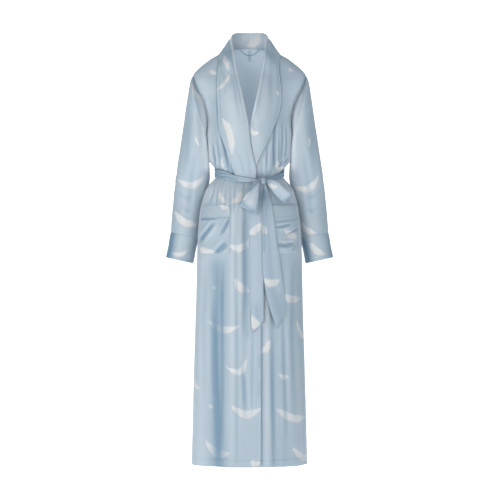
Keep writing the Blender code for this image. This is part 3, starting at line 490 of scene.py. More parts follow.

# Painted shade of each part and, below zero, painted light; the armhole seams' painted dark lines
# belong to the sleeves and the fronts
SEAM_TONES = (
    Tone(((204.5, 100), (206.2, 118), (207.4, 150)), 0.62, 0.9),
    Tone(((294.5, 102), (292.3, 118), (291, 148)), 0.62, 0.9),
)
# Round the armholes: painted light over the valley between sleeve and body
ARMHOLE_TONES = SEAM_TONES + (
    Tone(((202, 96), (204, 110), (205.5, 125), (207, 145), (208, 165)), -1.0, 4.6),
    Tone(((208, 170), (204, 200), (199, 236)), -0.40, 5),
    Tone(((199, 80), (203, 96)), -0.70, 4),
    Tone(((298, 96), (296, 110), (294.5, 125), (292.5, 145), (291.5, 165)), -1.0, 4.6),
    Tone(((291.5, 170), (296, 200), (301, 236)), -0.40, 5),
    Tone(((301, 80), (297, 96)), -0.70, 4),
)
ARMHOLE_FLAT = (
    Tone(((201, 84), (205, 110), (207.5, 140), (208.5, 165)), 1.5, 6),
    Tone(((299, 84), (294.5, 110), (292, 140), (291, 165)), 1.5, 6),
)
# Painted shade down the cuffs' rounded sides
CUFF_TONES = (
    Tone(((170, 234), (167, 258)), 1.15, 5.5),
    Tone(((198, 241), (194, 262)), 0.55, 3),
    Tone(((331, 236), (334, 256)), 0.95, 4.5),
    Tone(((303, 243), (307, 262)), 0.95, 5),
    Tone(((178, 259), (190, 262)), 0.30, 3),
)
# Painted shadow lines inside the collar's outer edges, painted shade near the neck and painted light on
# the fall
COLLAR_TONES = (
    Tone(((221.4, 60), (219.9, 85), (219.9, 105), (221.4, 122)), 0.32, 0.8),
    Tone(((275.8, 62), (278.4, 85), (278.6, 105), (274.4, 121)), 0.26, 0.8),
    Tone(((223, 50), (227, 54), (230, 60)), 0.35, 4),
    Tone(((274, 44), (272, 54), (271, 62)), 0.22, 4),
    Tone(((229, 92), (231, 112), (233, 130)), -0.25, 5),
    Tone(((263, 82), (264, 100), (262, 118)), -0.35, 4),
)
# Painted light on the collar's stand inside the back of the neck
STAND_TONES = (
    Tone(((232, 40), (249, 38), (262, 40)), -0.80, 7),
)
# Painted highlights along the collar's rolls, with painted shade lines beside them
ROLL_TONES = (
    Tone(((231.6, 38), (234.4, 60), (238.6, 80), (243, 101), (247, 119), (248.8, 128)), -0.85, 1.0),
    Tone(((229.4, 44), (232.2, 62), (236.4, 82), (240.8, 102)), 0.28, 0.9),
    Tone(((265.8, 37), (264, 60), (260, 85), (254.8, 108), (250.2, 127)), -0.80, 0.9),
    Tone(((267.6, 40), (266, 60), (262, 85), (256.8, 108), (252, 126)), 0.30, 0.8),
    Tone(((250, 131), (253, 146), (256.2, 162), (257.5, 174)), -0.40, 1.0),
)
# Painted shade in the bow loops' slits and undersides, and painted light on their faces
BOW_RIGHT_TONES = (
    Tone(((241.2, 202.8), (247.5, 207.6), (254.6, 211.8)), 0.90, 2.0),
    Tone(((256.5, 182), (252, 187.5), (248.5, 191.5)), 0.95, 1.8),
    Tone(((259.8, 187), (258.8, 200), (256.2, 209)), 0.50, 1.0),
    Tone(((256, 188), (252.5, 196), (250.5, 202)), -0.95, 6.0),
)
BOW_LEFT_TONES = (
    Tone(((263.5, 183), (267, 186), (270.5, 189)), 0.95, 1.9),
    Tone(((293, 194.5), (288.5, 198), (284, 202)), 0.80, 1.3),
    Tone(((271, 190), (276, 196), (282.5, 202)), 0.45, 1.2),
    Tone(((272, 184), (279, 189), (286, 194)), -0.45, 4.4),
)
# Painted shade towards the belt's sides and painted light on its middle front
BELT_TONES = (
    Tone(((213, 173), (222, 175)), 0.34, 5),
    Tone(((240, 179.5), (254, 180)), -0.55, 2.6),
    Tone(((286, 172), (275, 176)), 0.34, 4.5),
)
# Painted shadow lines beside the tails' edges and painted light down their faces
TAIL_TONES = (
    Tone(((264.4, 190), (264.6, 215), (264.2, 250)), 0.55, 1.5),
    Tone(((249.2, 206), (249, 246)), 0.35, 0.9),
    Tone(((271.5, 198), (275, 222), (277.6, 250)), 0.45, 0.8),
    Tone(((256, 205), (256.5, 300)), -0.30, 4),
    Tone(((269, 212), (273, 240), (278, 290)), -0.26, 4),
)
# Painted shadows beside the collar's edges, the pockets, the front edge and the hem, painted shade in
# the skirt's folds and puckers, and painted light over the armholes, shoulders, hips and ridges
FRONT_TONES = SEAM_TONES + (
    Tone(((205, 104), (206.5, 118), (207.5, 140), (208.5, 165)), -0.50, 4.0),
    Tone(((294.5, 104), (293, 118), (292, 140), (291, 165)), -0.50, 4.0),
    Tone(((270, 204.6), (284, 204.4), (297, 204.2)), 0.55, 0.9),
    Tone(((230.6, 206), (230.4, 230), (230.2, 252)), 0.40, 0.9),
    Tone(((208, 188), (204, 215), (202, 252)), -0.22, 13),
    Tone(((290, 188), (295, 215), (296, 252)), -0.20, 12),
    Tone(((212, 74), (211, 90)), -0.12, 8),
    Tone(((289, 74), (290, 90)), -0.20, 8),
    Tone(
        ((218.6, 60), (216.9, 85), (216.8, 105), (218.4, 125), (222.3, 142), (227.4, 160), (234, 175)),
        0.70, 1.1,
    ),
    Tone(((198, 73), (208, 67), (216, 62)), -0.25, 5),
    Tone(((283, 62), (291, 67), (301, 73)), -0.25, 5),
    Tone(((212, 186), (222, 189), (236, 193)), -0.62, 10),
    Tone(((280, 184), (291, 194)), -0.62, 10),
    Tone(((206, 192), (201, 215), (200, 250)), -0.30, 4),
    Tone(((294, 192), (299, 215), (300, 250)), -0.30, 4),
    Tone(((261.6, 327), (261.9, 395), (261.7, 463)), 0.70, 0.8),
    Tone(((259.4, 356), (259.2, 367)), 0.30, 1.3),
    Tone(((259.6, 383), (259.4, 395)), 0.26, 1.3),
    Tone(((192, 457.3), (212, 459.2), (235, 460.3), (261, 460.9)), 0.28, 0.7),
    Tone(((262, 461), (285, 460), (308, 457)), 0.28, 0.7),
    Tone(
        ((278, 62), (280.5, 85), (280.5, 107), (276, 123), (270, 139), (264, 152), (259, 163)),
        0.45, 1.1,
    ),
    Tone(((216.5, 266), (218.5, 330), (219, 400), (219.5, 466)), 0.44, 7.5),
    Tone(((246, 206), (246, 260), (247, 335)), 0.24, 2.6),
    Tone(((243, 365), (243.5, 390), (245, 415)), 0.24, 3.0),
    Tone(((231.5, 206), (231.5, 330), (232, 463)), -0.14, 3.0),
    Tone(((203, 262), (201, 340), (200, 463)), -0.32, 6),
    Tone(((266.5, 330), (266.5, 463)), -0.24, 1.8),
    Tone(((278, 265), (281, 330), (283, 466)), 0.10, 9),
    Tone(((213, 100), (213, 140)), 0.10, 4),
)

# Full painted shade in a crease, painted shade over the belt as a whole, and full painted light on a
# ridge
CREASE_SHADE = 0.58
BELT_SHADE = 0.22
RIDGE_LIGHT = 0.22

# The printed feathers, by the photograph's columns and rows: quill, middle and tip, and half the
# width in mm
Motif = namedtuple("Motif", "piece quill middle tip half_width")
MOTIFS = (
    Motif("collar_right", (221.5, 57), (226, 62), (229, 70), 6.5),
    Motif("collar_right", (229.5, 74), (225.5, 82), (217.5, 89), 7.5),
    Motif("collar_right", (223, 119), (229.5, 134), (231, 154), 9),
    Motif("collar_left", (249.5, 128), (253, 132.5), (258.5, 133), 6),
    Motif("collar_left", (276.5, 91), (278, 93.5), (278.5, 96), 4.5),
    Motif("collar_left", (261, 33.5), (256.5, 41), (247, 45.5), 11),
    Motif("collar_right", (261, 33.5), (256.5, 41), (247, 45.5), 11),
    Motif("front_right", (210, 70.5), (213, 73), (216.5, 74.5), 8),
    Motif("front_right", (222, 158), (222.5, 164), (224, 170), 5),
    Motif("front_left", (276, 161), (278.5, 168), (285, 167), 6),
    Motif("front_left", (289, 68), (291, 70.5), (293.5, 71), 4.5),
    Motif("sleeve_right", (191, 84.5), (194.5, 92.5), (203, 98), 9),
    Motif("sleeve_right", (176.5, 178), (190, 184.5), (203.5, 174.5), 9),
    Motif("sleeve_right", (196, 137), (197, 142), (199, 146), 5),
    Motif("sleeve_right", (173.5, 211), (183.5, 221), (199, 224), 9.5),
    Motif("sleeve_left", (294, 186), (307, 188), (318.5, 174.5), 9),
    Motif("sleeve_left", (309, 138), (309.5, 142), (309, 147), 5),
    Motif("sleeve_left", (300, 222), (306, 229), (315, 233), 7),
    Motif("cuff_left", (310, 243), (317, 251), (325, 254), 8.5),
    Motif("cuff_right", (171, 252), (178, 254.5), (187, 250), 6),
    Motif("front_right", (219, 193), (221.5, 198), (226, 203), 7),
    Motif("front_right", (231, 203), (236.5, 200), (240.5, 191), 8),
    Motif("front_right", (227, 243), (237.5, 248), (250, 237), 9.5),
    Motif("front_right", (236, 279), (241, 287.5), (250, 291), 9.5),
    Motif("front_right", (212, 286.5), (214, 288), (216.5, 288), 5),
    Motif("front_right", (212.5, 321), (222.5, 329), (235.5, 325.5), 8.5),
    Motif("front_right", (226, 366), (235.5, 372.5), (246, 357), 8.5),
    Motif("front_right", (193.5, 379), (195.5, 385), (199, 388), 7),
    Motif("front_right", (209.5, 405), (211.5, 407), (213.5, 408), 4.5),
    Motif("front_right", (233, 406), (245.5, 413.5), (260.5, 408), 9.5),
    Motif("front_right", (208.5, 441), (216, 451.5), (229.5, 452.5), 10),
    Motif("front_right", (250.5, 462), (255, 463.5), (260, 462.5), 8),
    Motif("front_left", (261, 352.5), (266, 348.5), (270, 340), 8),
    Motif("front_left", (279.5, 290), (288, 297.5), (302, 297.5), 9.5),
    Motif("front_left", (296.5, 322), (299, 330.5), (304.5, 337), 8.5),
    Motif("front_left", (279.5, 374), (283.5, 377), (288, 376), 6.5),
    Motif("front_left", (281, 409), (291, 417), (309, 415.5), 9.5),
    Motif("front_left", (297, 449), (300.5, 455), (307, 457.5), 9),
    Motif("pocket_right", (198.5, 247), (206, 251.5), (214, 251), 8.5),
    Motif("pocket_left", (283.5, 230), (290, 234.5), (299, 236), 9.5),
    Motif("pocket_band_right", (220.5, 203), (223.5, 206.5), (228, 208), 6),
    Motif("bow_loop_right", (248, 190), (246, 195), (240.5, 200), 6.5),
    Motif("bow_loop_left", (268.5, 184), (272, 186.5), (277, 186.5), 6),
    Motif("belt_tail_right", (250, 234), (256.5, 229), (262, 223.5), 8.5),
    Motif("belt_tail_right", (249, 316), (255, 324), (261, 325), 9.5),
    Motif("belt_tail_left", (264, 279.5), (271.5, 283), (279.5, 280), 9.5),
    Motif("belt_tail_left", (263.8, 226), (265, 231), (266.5, 234), 6),
)
FEATHER_GAP = 105 * MM
FEATHER_FULLNESS = 1.38
FEATHER_REACH = 1.12
FEATHER_MARGIN = 52 * MM
FEATHER_LENGTHS = (62 * MM, 92 * MM)
FEATHER_HALF_WIDTHS = (7.5 * MM, 10 * MM)
FEATHER_BENDS = (0.14, 0.26)
FEATHER_COUNT = 40
FEATHER_DENSITY = 800
FEATHER_TURN = 0.9
FEATHER_HALF_LENGTH = 0.60
FEATHER_SIDE_REACH = 2.2
FEATHER_FADE = 1.4

# Colours, as linear red, green and blue
CLOTH_BLUE = (0.312, 0.392, 0.458)
INSIDE_BLUE = (0.345, 0.41, 0.465)
# The belt, bow and tails take a darker copy of the robe's satin: painted shade
SHADED_BELT_BLUE = (0.262, 0.348, 0.43)
# Painted shade in creases and shaded areas
PAINTED_SHADE_BLUE = (0.088, 0.188, 0.285)
# Painted light on ridges and lifted areas
PAINTED_LIGHT_BLUE = (0.48, 0.54, 0.60)
FEATHER_WHITE = (0.60, 0.60, 0.60)
FEATHER_BEIGE = (0.58, 0.53, 0.49)
KEY_COLOUR = (1.0, 0.95, 0.89)
TRIM_BLUE = (0.24, 0.33, 0.43)
TAPE_BLUE = (0.30, 0.37, 0.44)
STAGE_WHITE = (0.90, 0.91, 0.92)
WORLD_BLUE = (0.80, 0.91, 1.0)

# How much of the print shows, and the strength of an even painted glow that stands in for light through
# thin cloth and lifts the shade on the inside and the trims
PRINT_SHARE = 0.85
INSIDE_PRINT_SHARE = 0.3
INSIDE_GLOW = 0.44
TRIM_GLOW = 0.10
TAPE_GLOW = 0.34

# Surface of the satin
SATIN_ROUGHNESS = 0.50
RIPPLE_STRETCH = (1.0, 0.28, 1.0)
SATIN_COAT = 0.55
SATIN_LOOK = {
    "Specular IOR Level": 0.8,
    "Anisotropic": 0.35,
    "Sheen Weight": 0.12,
    "Sheen Roughness": 0.5,
    "Coat IOR": 1.75,
    "Coat Roughness": 0.46,
}

# Stitches: half the thread's width, its soft edge, the pinch beside it, the pitch and the dash
THREAD_HALF = 0.2 * MM
THREAD_EDGE = 0.5 * MM
PINCH_EDGE = 2.2 * MM
STITCH_PITCH = 2.4 * MM
STITCH_DASH = (0.62, 0.74)

# Studio lights, in metres and watts
Light = namedtuple("Light", "name place aim size power")
LIGHTS = (
    Light("key", (-1.9, -4.2, 0.5), (0, 0, -0.55), (1.9, 2.8), 78),
    Light("fill", (1.6, -4.6, 0.0), (0, 0, -0.7), (1.2, 2.4), 30),
    Light("side", (-3.0, -1.2, -0.2), (0, 0, -0.7), (0.5, 2.4), 8),
)
WORLD_STRENGTH = 0.46

# How each kind of piece is held and what it rests on; {} is the piece's own side
SHEETS = {
    "back": ("hung", ()),
    "front": ("hung", ()),
    "sleeve": ("hung", ("front_{}_cloth", "back_cloth")),
    "cuff": ("hung", ("sleeve_{}_cloth",)),
    "pocket_band": ("laid", ("front_{}_cloth",)),
    "pocket": ("laid", ("front_{}_cloth",)),
    "collar": ("folded", ("front_{}_cloth", "back_cloth")),
    "belt": ("stretched", ("back_cloth", "front_right_cloth", "front_left_cloth")),
    "bow_loop": ("folded", ("belt_knot_cloth",)),
    "belt_tail": ("folded", ("belt_knot_cloth",)),
}


def hermite(t, step, first, second, first_tangent, second_tangent):
    """Value at a share t of a step between two values with their tangents."""
    rise = (1 + 2 * t) * (1 - t) ** 2 * first + t * t * (3 - 2 * t) * second
    turn = t * (1 - t) ** 2 * first_tangent - t * t * (1 - t) * second_tangent
    return rise + step * turn


class Curve:
    """Smooth curve through one column of a table, flat beyond its ends, with no overshoot."""

    def __init__(self, rows, key, field, unit=MM, key_unit=MM):
        pairs = sorted((getattr(row, key), getattr(row, field)) for row in rows)
        self.x = np.array([pair[0] for pair in pairs]) * key_unit
        self.y = np.array([pair[1] for pair in pairs]) * unit
        step = np.diff(self.x)
        slope = np.diff(self.y) / step
        same_way = slope[1:] * slope[:-1] > 0
        total = np.where(same_way, slope[1:] + slope[:-1], 1.0)
        middle = np.where(same_way, 2 * slope[1:] * slope[:-1] / total, 0.0)
        self.tangent = np.concatenate(([slope[0]], middle, [slope[-1]]))

    def __call__(self, value):
        value = np.clip(value, self.x[0], self.x[-1])
        index = np.clip(np.searchsorted(self.x, value) - 1, 0, len(self.x) - 2)
        step = self.x[index + 1] - self.x[index]
        t = (value - self.x[index]) / step
        y, tangent = self.y, self.tangent
        return hermite(t, step, y[index], y[index + 1], tangent[index], tangent[index + 1])


HALF_WIDTH = Curve(SECTIONS, "level", "half_width")
FRONT_DEPTH = Curve(SECTIONS, "level", "front")
BACK_DEPTH = Curve(SECTIONS, "level", "back")
BELT_HEIGHT = Curve(BELT_RUN, "angle", "height", key_unit=1)
BELT_HALF = Curve(BELT_RUN, "angle", "half_height", key_unit=1)
EDGE_CURVES = {
    "right": Curve(FRONT_EDGES, "height", "over"),
    "left": Curve(FRONT_EDGES, "height", "under"),
}
SIGN = {"right": -1.0, "left": 1.0}


def smooth(start, end, value):
    """Rise from 0 at start to 1 at end, with level ends."""
    t = np.clip((value - start) / (end - start), 0.0, 1.0)
    return t * t * (3 - 2 * t)


def wrapped(angle):
    """The same angle between -180 and 180 degrees."""
    return (np.asarray(angle, dtype=float) + 180.0) % 360.0 - 180.0


def waist_dip(angle, level):
    """How far the cloth round the waist follows the belt down at the front."""
    near = 1 - smooth(28 * MM, 135 * MM, np.abs(level - WAIST_LEVEL))
    return (BELT_HEIGHT(wrapped(angle)) - WAIST_LEVEL) * near


def neck_rise(angle, level):
    """The back of the neck stands a little higher than its sides."""
    behind = np.clip(-np.cos(np.radians(angle)), 0, 1)
    return NECK_RISE * behind * smooth(-45 * MM, NECK_LEVEL, level)


def fold_height(angle, level):
    """Long folds and the gathers above and below the belt, as a distance outward."""
    height = np.zeros(np.broadcast(angle, level).shape)
    for fold in FOLDS:
        top = fold.top * MM
        bottom = fold.bottom * MM
        down = np.clip((top - level) / (top - bottom), 0, 1)
        across = wrapped(angle - fold.angle - fold.drift * down) / fold.half_width
        bump = 0.5 + 0.5 * np.cos(np.pi * np.clip(across, -1, 1))
        run = min(120 * MM, 0.45 * (top - bottom))
        ends = smooth(top, top - run, level) * (1 - smooth(bottom + run, bottom, level))
        height = height + fold.height * MM * bump * ends
    turn = np.radians(angle)
    phase = GATHER_COUNT * turn + 1.3 * np.sin(3 * turn + 0.4) + 0.7 * np.sin(5 * turn + 1)
    uneven = 0.75 + 0.25 * np.sin(4 * turn + 2)
    below = WAIST_LEVEL - level
    run = np.where(below > 0, GATHER_RUN_DOWN, GATHER_RUN_UP)
    away = np.abs(below) / run
    strength = np.clip(1 - away, 0, 1) * (0.45 + 0.55 * smooth(0.05, 0.3, away))
    return height + GATHER_HEIGHT * uneven * strength * np.cos(phase)


def body_point(angle, level, lift=0.0, folded=True):
    """Point of the worn cloth at an angle and a level, moved outward by lift."""
    angle = np.asarray(angle, dtype=float)
    level = np.asarray(level, dtype=float)
    turn = np.radians(angle)
    width = HALF_WIDTH(level)
    depth = np.where(np.cos(turn) >= 0, FRONT_DEPTH(level), BACK_DEPTH(level))
    out_x = np.sin(turn) / width
    out_y = -np.cos(turn) / depth
    size = np.hypot(out_x, out_y)
    outward = lift
    if folded:
        outward = outward + fold_height(angle, level)
    x = width * np.sin(turn) + outward * out_x / size
    y = -depth * np.cos(turn) + outward * out_y / size
    z = level + waist_dip(angle, level) + neck_rise(angle, level)
    return np.stack(np.broadcast_arrays(x, y, z), axis=-1)


def front_place(x, height):
    """Angle and level of the front point seen at x and at a height."""
    level = np.asarray(height, dtype=float)
    for _ in range(8):
        angle = np.degrees(np.arcsin(np.clip(x / HALF_WIDTH(level), -1, 1)))
        level = height - waist_dip(angle, level)
    return angle, level


def edge_angle(side, level):
    """Angle of a front's inner edge at a level."""
    angle = np.zeros(np.shape(level))
    for _ in range(8):
        height = level + waist_dip(angle, level)
        across = SIGN[side] * EDGE_CURVES[side](height)
        angle = np.degrees(np.arcsin(np.clip(across / HALF_WIDTH(level), -1, 1)))
    return angle


def armhole_angle(level):
    """Angle from the side seam by which the armhole cuts into a panel."""
    down = np.clip((SHOULDER_LEVEL - level) / (SHOULDER_LEVEL - UNDERARM_LEVEL), 0, 1)
    return ARMHOLE_CUT * np.sqrt(np.clip(1 - (2 * down - 1) ** 2, 0, 1))


def underlap(angle, level):
    """Depth by which the under front lies below the over front near the centre."""
    start = edge_angle("right", level) + 2.0
    near = 1 - smooth(start, start + UNDERLAP_TURN, angle)
    return -UNDERLAP_DEPTH * near * smooth(-165 * MM, -230 * MM, level)


def normals_of(grid, closed=False):
    """Unit normals of a grid of points, rows by columns."""
    if closed:
        around = np.roll(grid, -1, axis=1) - np.roll(grid, 1, axis=1)
    else:
        around = np.gradient(grid, axis=1)
    along = np.gradient(grid, axis=0)
    normal = np.cross(around, along)
    return normal / np.maximum(np.linalg.norm(normal, axis=-1, keepdims=True), 1e-12)


def facing_out(grid, closed=False, centre=None):
    """Normals of a grid that point away from the piece's own middle."""
    normal = normals_of(grid, closed)
    if centre is None:
        centre = grid.mean(axis=1, keepdims=True)
    if (normal * (grid - centre)).sum() < 0:
        normal = -normal
    return normal


def facing_front(grid, row, column):
    """Normals of a grid, turned so that the one at a row and a column faces the front."""
    normal = normals_of(grid)
    return -normal if normal[row, column, 1] > 0 else normal


def through(rows, count, weights=None):
    """More rows between the given ones, on smooth curves that pass through them all."""
    rows = np.asarray(rows, dtype=float)
    flat = rows.reshape(len(rows), -1)
    if weights is None:
        step = np.linalg.norm(np.diff(rows, axis=0), axis=-1).reshape(len(rows) - 1, -1).mean(axis=1)
        weights = np.concatenate(([0.0], np.cumsum(np.maximum(step, 1e-6))))
    knots = np.asarray(weights, dtype=float)
    span = np.diff(knots)[:, None]
    slope = np.diff(flat, axis=0) / span
    tangent = np.empty_like(flat)
    tangent[0] = slope[0]
    tangent[-1] = slope[-1]
    tangent[1:-1] = (slope[:-1] * span[1:] + slope[1:] * span[:-1]) / (span[:-1] + span[1:])
    place = np.linspace(knots[0], knots[-1], count)
    index = np.clip(np.searchsorted(knots, place, side="right") - 1, 0, len(knots) - 2)
    step = (knots[index + 1] - knots[index])[:, None]
    t = (place - knots[index])[:, None] / step
    curve = hermite(t, step, flat[index], flat[index + 1], tangent[index], tangent[index + 1])
    return curve.reshape((count,) + rows.shape[1:])


def picture_place(points):
    """Column and row of the photograph at which points are seen."""
    near = (EYE_DISTANCE + points[..., 1]) / EYE_DISTANCE
    column = CENTRE_COLUMN + points[..., 0] / (PIXEL * near)
    row = CENTRE_ROW - (points[..., 2] - EYE_LEVEL) / (PIXEL * near)
    return np.stack((column, row), axis=-1)


def nearest_on_path(place, path):
    """Distance of places in the picture from a path, and the share of the path up to the nearest."""
    path = np.array(path, dtype=float)
    lengths = np.linalg.norm(np.diff(path, axis=0), axis=1)
    nearest = np.full(place.shape[:-1], np.inf)
    along = np.zeros(nearest.shape)
    run = 0.0
    for start, end, length in zip(path[:-1], path[1:], lengths):
        step = (end - start) / length
        offset = place - start
        share = np.clip(offset @ step, 0, length)
        gap = np.linalg.norm(offset - share[..., None] * step, axis=-1)
        closer = gap < nearest
        nearest = np.where(closer, gap, nearest)
        along = np.where(closer, run + share, along)
        run += length
    return nearest, along / run


def crease_height(place, creases):
    """Depth of the creases at places in the picture, as a distance outward, below zero."""
    height = np.zeros(place.shape[:-1])
    for crease in creases:
        nearest, along = nearest_on_path(place, crease.path)
        across = nearest / crease.half_width
        ends = np.sin(np.pi * np.clip(along, 0, 1)) ** 0.6
        valley = np.exp(-across ** 2) - 0.42 * np.exp(-((across - 1.9) / 0.9) ** 2)
        height = height - crease.depth * MM * valley * ends
    return height


def painted_crease_shading(height, depth=3.0 * MM):
    """Share of painted shade in the valleys of a height, and of painted light, below zero, on its
    ridges.
    """
    valley = np.clip(-height / depth, 0, 1)
    ridge = np.clip(height / depth, 0, 1)
    return CREASE_SHADE * valley - RIDGE_LIGHT * ridge


def painted_tone(place, tones):
    """Amount of shade from soft areas at places in the picture."""
    amount = np.zeros(place.shape[:-1])
    for tone in tones:
        nearest, _ = nearest_on_path(place, tone.path)
        amount = amount + tone.amount * np.exp(-(nearest / tone.half_width) ** 2)
    return amount


def drape(u, v, seed, height=0.55 * MM):
    """Slow, uneven waves of loose satin, longer down the cloth than across it."""
    random = np.random.default_rng(seed)
    waves = np.zeros(np.broadcast(u, v).shape)
    for _ in range(DRAPE_WAVES):
        across = random.uniform(*DRAPE_ACROSS)
        down = random.uniform(*DRAPE_DOWN)
        turn = random.uniform(0, 2 * np.pi)
        bend = random.uniform(0, 2 * np.pi)
        waves = waves + np.sin(across * u + down * v + turn + 0.8 * np.sin(9 * v + bend))
    return height * waves / DRAPE_SCALE


def fine_gathers(angle, level, height=0.9 * MM):
    """Small gathers between the large ones, dying out away from the belt."""
    turn = np.radians(angle)
    phase = 57 * turn + 2.2 * np.sin(5 * turn + 0.8) + 1.4 * np.sin(11 * turn)
    below = WAIST_LEVEL - level
    run = np.where(below > 0, 74 * MM, 58 * MM)
    strength = np.clip(1 - np.abs(below) / run, 0, 1) ** 1.3
    return height * strength * (np.cos(phase) + 0.4 * np.cos(1.7 * phase + 1))


def cloth_lengths(grid, closed=False):
    """Distances across and down the cloth at each point, in metres."""
    first = grid[:, :1]
    ring = np.concatenate((grid, first), axis=1) if closed else grid
    across = np.linalg.norm(np.diff(ring, axis=1), axis=-1)
    u = np.concatenate((np.zeros((len(grid), 1)), np.cumsum(across, axis=1)), axis=1)
    down = np.linalg.norm(np.diff(ring, axis=0), axis=-1).mean(axis=1)
    v = np.concatenate(([0.0], np.cumsum(down)))
    return u, np.broadcast_to(v[:, None], u.shape)


class Piece:
    """A thin shell of cloth: its outer points, normals, cloth coordinates and print."""

    def __init__(self, name, outer, normal, thickness, closed=False, middle_column=None, flip=1.0):
        self.name = name
        self.outer = outer
        self.normal = normal
        self.thickness = thickness
        self.closed = closed
        u, v = cloth_lengths(outer, closed)
        if middle_column is not None:
            u = u - u[:, middle_column:middle_column + 1]
        self.u = u * flip
        self.v = v
        self.girth = np.abs(u[:, -1] - u[:, 0])
        columns = outer.shape[1]
        self.u_points = self.u[:, :columns]
        self.v_points = self.v[:, :columns]
        self.feather = None
        self.stitch = None
        self.tone = np.zeros(outer.shape[:2])
        self.pressed = None

    def shading_normals(self):
        """Normals of the finished surface, eased towards the front where the cloth is pressed flat."""
        normal = normals_of(self.outer, self.closed)
        if (normal * self.normal).sum() < 0:
            normal = -normal
        if self.pressed is not None:
            eased = normal + self.pressed[..., None] * np.array((0.0, -1.0, 0.0))
            normal = eased / np.maximum(np.linalg.norm(eased, axis=-1, keepdims=True), 1e-12)
        return normal

    def shift(self, height):
        """Move the points outward by a height."""
        self.outer = self.outer + self.normal * height[..., None]


def grid_quads(rows, columns, closed):
    """Corner numbers of a grid's quads, and the columns that their corners use for lengths."""
    spans = columns if closed else columns - 1
    row, column = np.meshgrid(np.arange(rows - 1), np.arange(spans), indexing="ij")
    row = row.ravel()
    column = column.ravel()
    after = (column + 1) % columns
    quads = np.stack((
        row * columns + column,
        row * columns + after,
        (row + 1) * columns + after,
        (row + 1) * columns + column,
    ), axis=1)
    wide = columns + 1 if closed else columns
    lengths = np.stack((
        row * wide + column,
        row * wide + column + 1,
        (row + 1) * wide + column + 1,
        (row + 1) * wide + column,
    ), axis=1)
    return quads, lengths


def rim_pairs(rows, columns, closed):
    """Neighbouring points along the open edges of a grid."""
    pairs = []
    spans = columns if closed else columns - 1
    for column in range(spans):
        after = (column + 1) % columns
        pairs.append((after, column))
        last = (rows - 1) * columns
        pairs.append((last + column, last + after))
    if not closed:
        for row in range(rows - 1):
            pairs.append((row * columns, (row + 1) * columns))
            pairs.append(((row + 1) * columns + columns - 1, row * columns + columns - 1))
    return np.array(pairs)


def build_piece(piece, outside, inside):
    """The mesh object of a piece: an outer side, an inner side and a rim between them."""
    rows, columns = piece.outer.shape[:2]
    count = rows * columns
    inner = piece.outer - piece.normal * piece.thickness
    points = np.concatenate((piece.outer.reshape(-1, 3), inner.reshape(-1, 3)))
    quads, lengths = grid_quads(rows, columns, piece.closed)
    pairs = rim_pairs(rows, columns, piece.closed)
    rim = np.stack((pairs[:, 0], pairs[:, 1], count + pairs[:, 1], count + pairs[:, 0]), axis=1)
    faces = np.concatenate((quads, count + quads[:, ::-1], rim))
    sample = points[quads[len(quads) // 2]]
    facing = np.cross(sample[1] - sample[0], sample[2] - sample[0])
    turned = (facing * piece.normal.reshape(-1, 3)[quads[len(quads) // 2, 0]]).sum() < 0
    if turned:
        faces = faces[:, ::-1]
    name = piece.name + "_cloth"
    mesh = bpy.data.meshes.new(name)
    mesh.vertices.add(len(points))
    mesh.vertices.foreach_set("co", points.ravel())
    mesh.loops.add(4 * len(faces))
    mesh.loops.foreach_set("vertex_index", faces.ravel().astype(np.int32))
    mesh.polygons.add(len(faces))
    mesh.polygons.foreach_set("loop_start", np.arange(0, 4 * len(faces), 4, dtype=np.int32))
    materials = np.zeros(len(faces), dtype=np.int32)
    materials[len(quads):2 * len(quads)] = 1
    mesh.polygons.foreach_set("material_index", materials)
    mesh.update(calc_edges=True)
    u = piece.u.ravel()
    v = piece.v.ravel()
    corner_uv = np.stack((u[lengths], v[lengths]), axis=-1)
    wide = piece.u.shape[1]
    rim_uv = np.stack((
        u[pairs // columns * wide + pairs % columns],
        v[pairs // columns * wide + pairs % columns],
    ), axis=-1)
    rim_corners = np.stack((rim_uv[:, 0], rim_uv[:, 1], rim_uv[:, 1], rim_uv[:, 0]), axis=1)
    uv = np.concatenate((corner_uv, corner_uv[:, ::-1], rim_corners))
    if turned:
        uv = uv[:, ::-1]
    layer = mesh.uv_layers.new(name="cloth")
    layer.data.foreach_set("uv", uv.reshape(-1).astype(np.float32))
    far = np.full((rows, columns, 3), 1.0)
    for label, values in (("feather", piece.feather), ("stitch", piece.stitch)):
        if values is None:
            values = far
        attribute = mesh.attributes.new(label, "FLOAT_VECTOR", "POINT")
        both = np.concatenate((values.reshape(-1, 3), values.reshape(-1, 3)))
        attribute.data.foreach_set("vector", both.ravel().astype(np.float32))
    # Painted shade and painted light of each point, read by the satin's colour
    attribute = mesh.attributes.new("tone", "FLOAT", "POINT")
    attribute.data.foreach_set("value", np.tile(piece.tone.ravel(), 2).astype(np.float32))
    mesh.shade_smooth()
    normal = piece.shading_normals()
    both = np.concatenate((normal.reshape(-1, 3), -normal.reshape(-1, 3)))
    corner_normals = both[faces]
    edge = points[faces[2 * len(quads):]]
    edge_normals = np.cross(edge[:, 1] - edge[:, 0], edge[:, 2] - edge[:, 0])
    edge_sizes = np.linalg.norm(edge_normals, axis=1, keepdims=True)
    edge_normals = edge_normals / np.maximum(edge_sizes, 1e-12)
    corner_normals[2 * len(quads):] = edge_normals[:, None, :]
    mesh.normals_split_custom_set(corner_normals.reshape(-1, 3).tolist())
    mesh.materials.append(outside)
    mesh.materials.append(inside)
    thing = bpy.data.objects.new(name, mesh)
    bpy.context.scene.collection.objects.link(thing)
    return thing


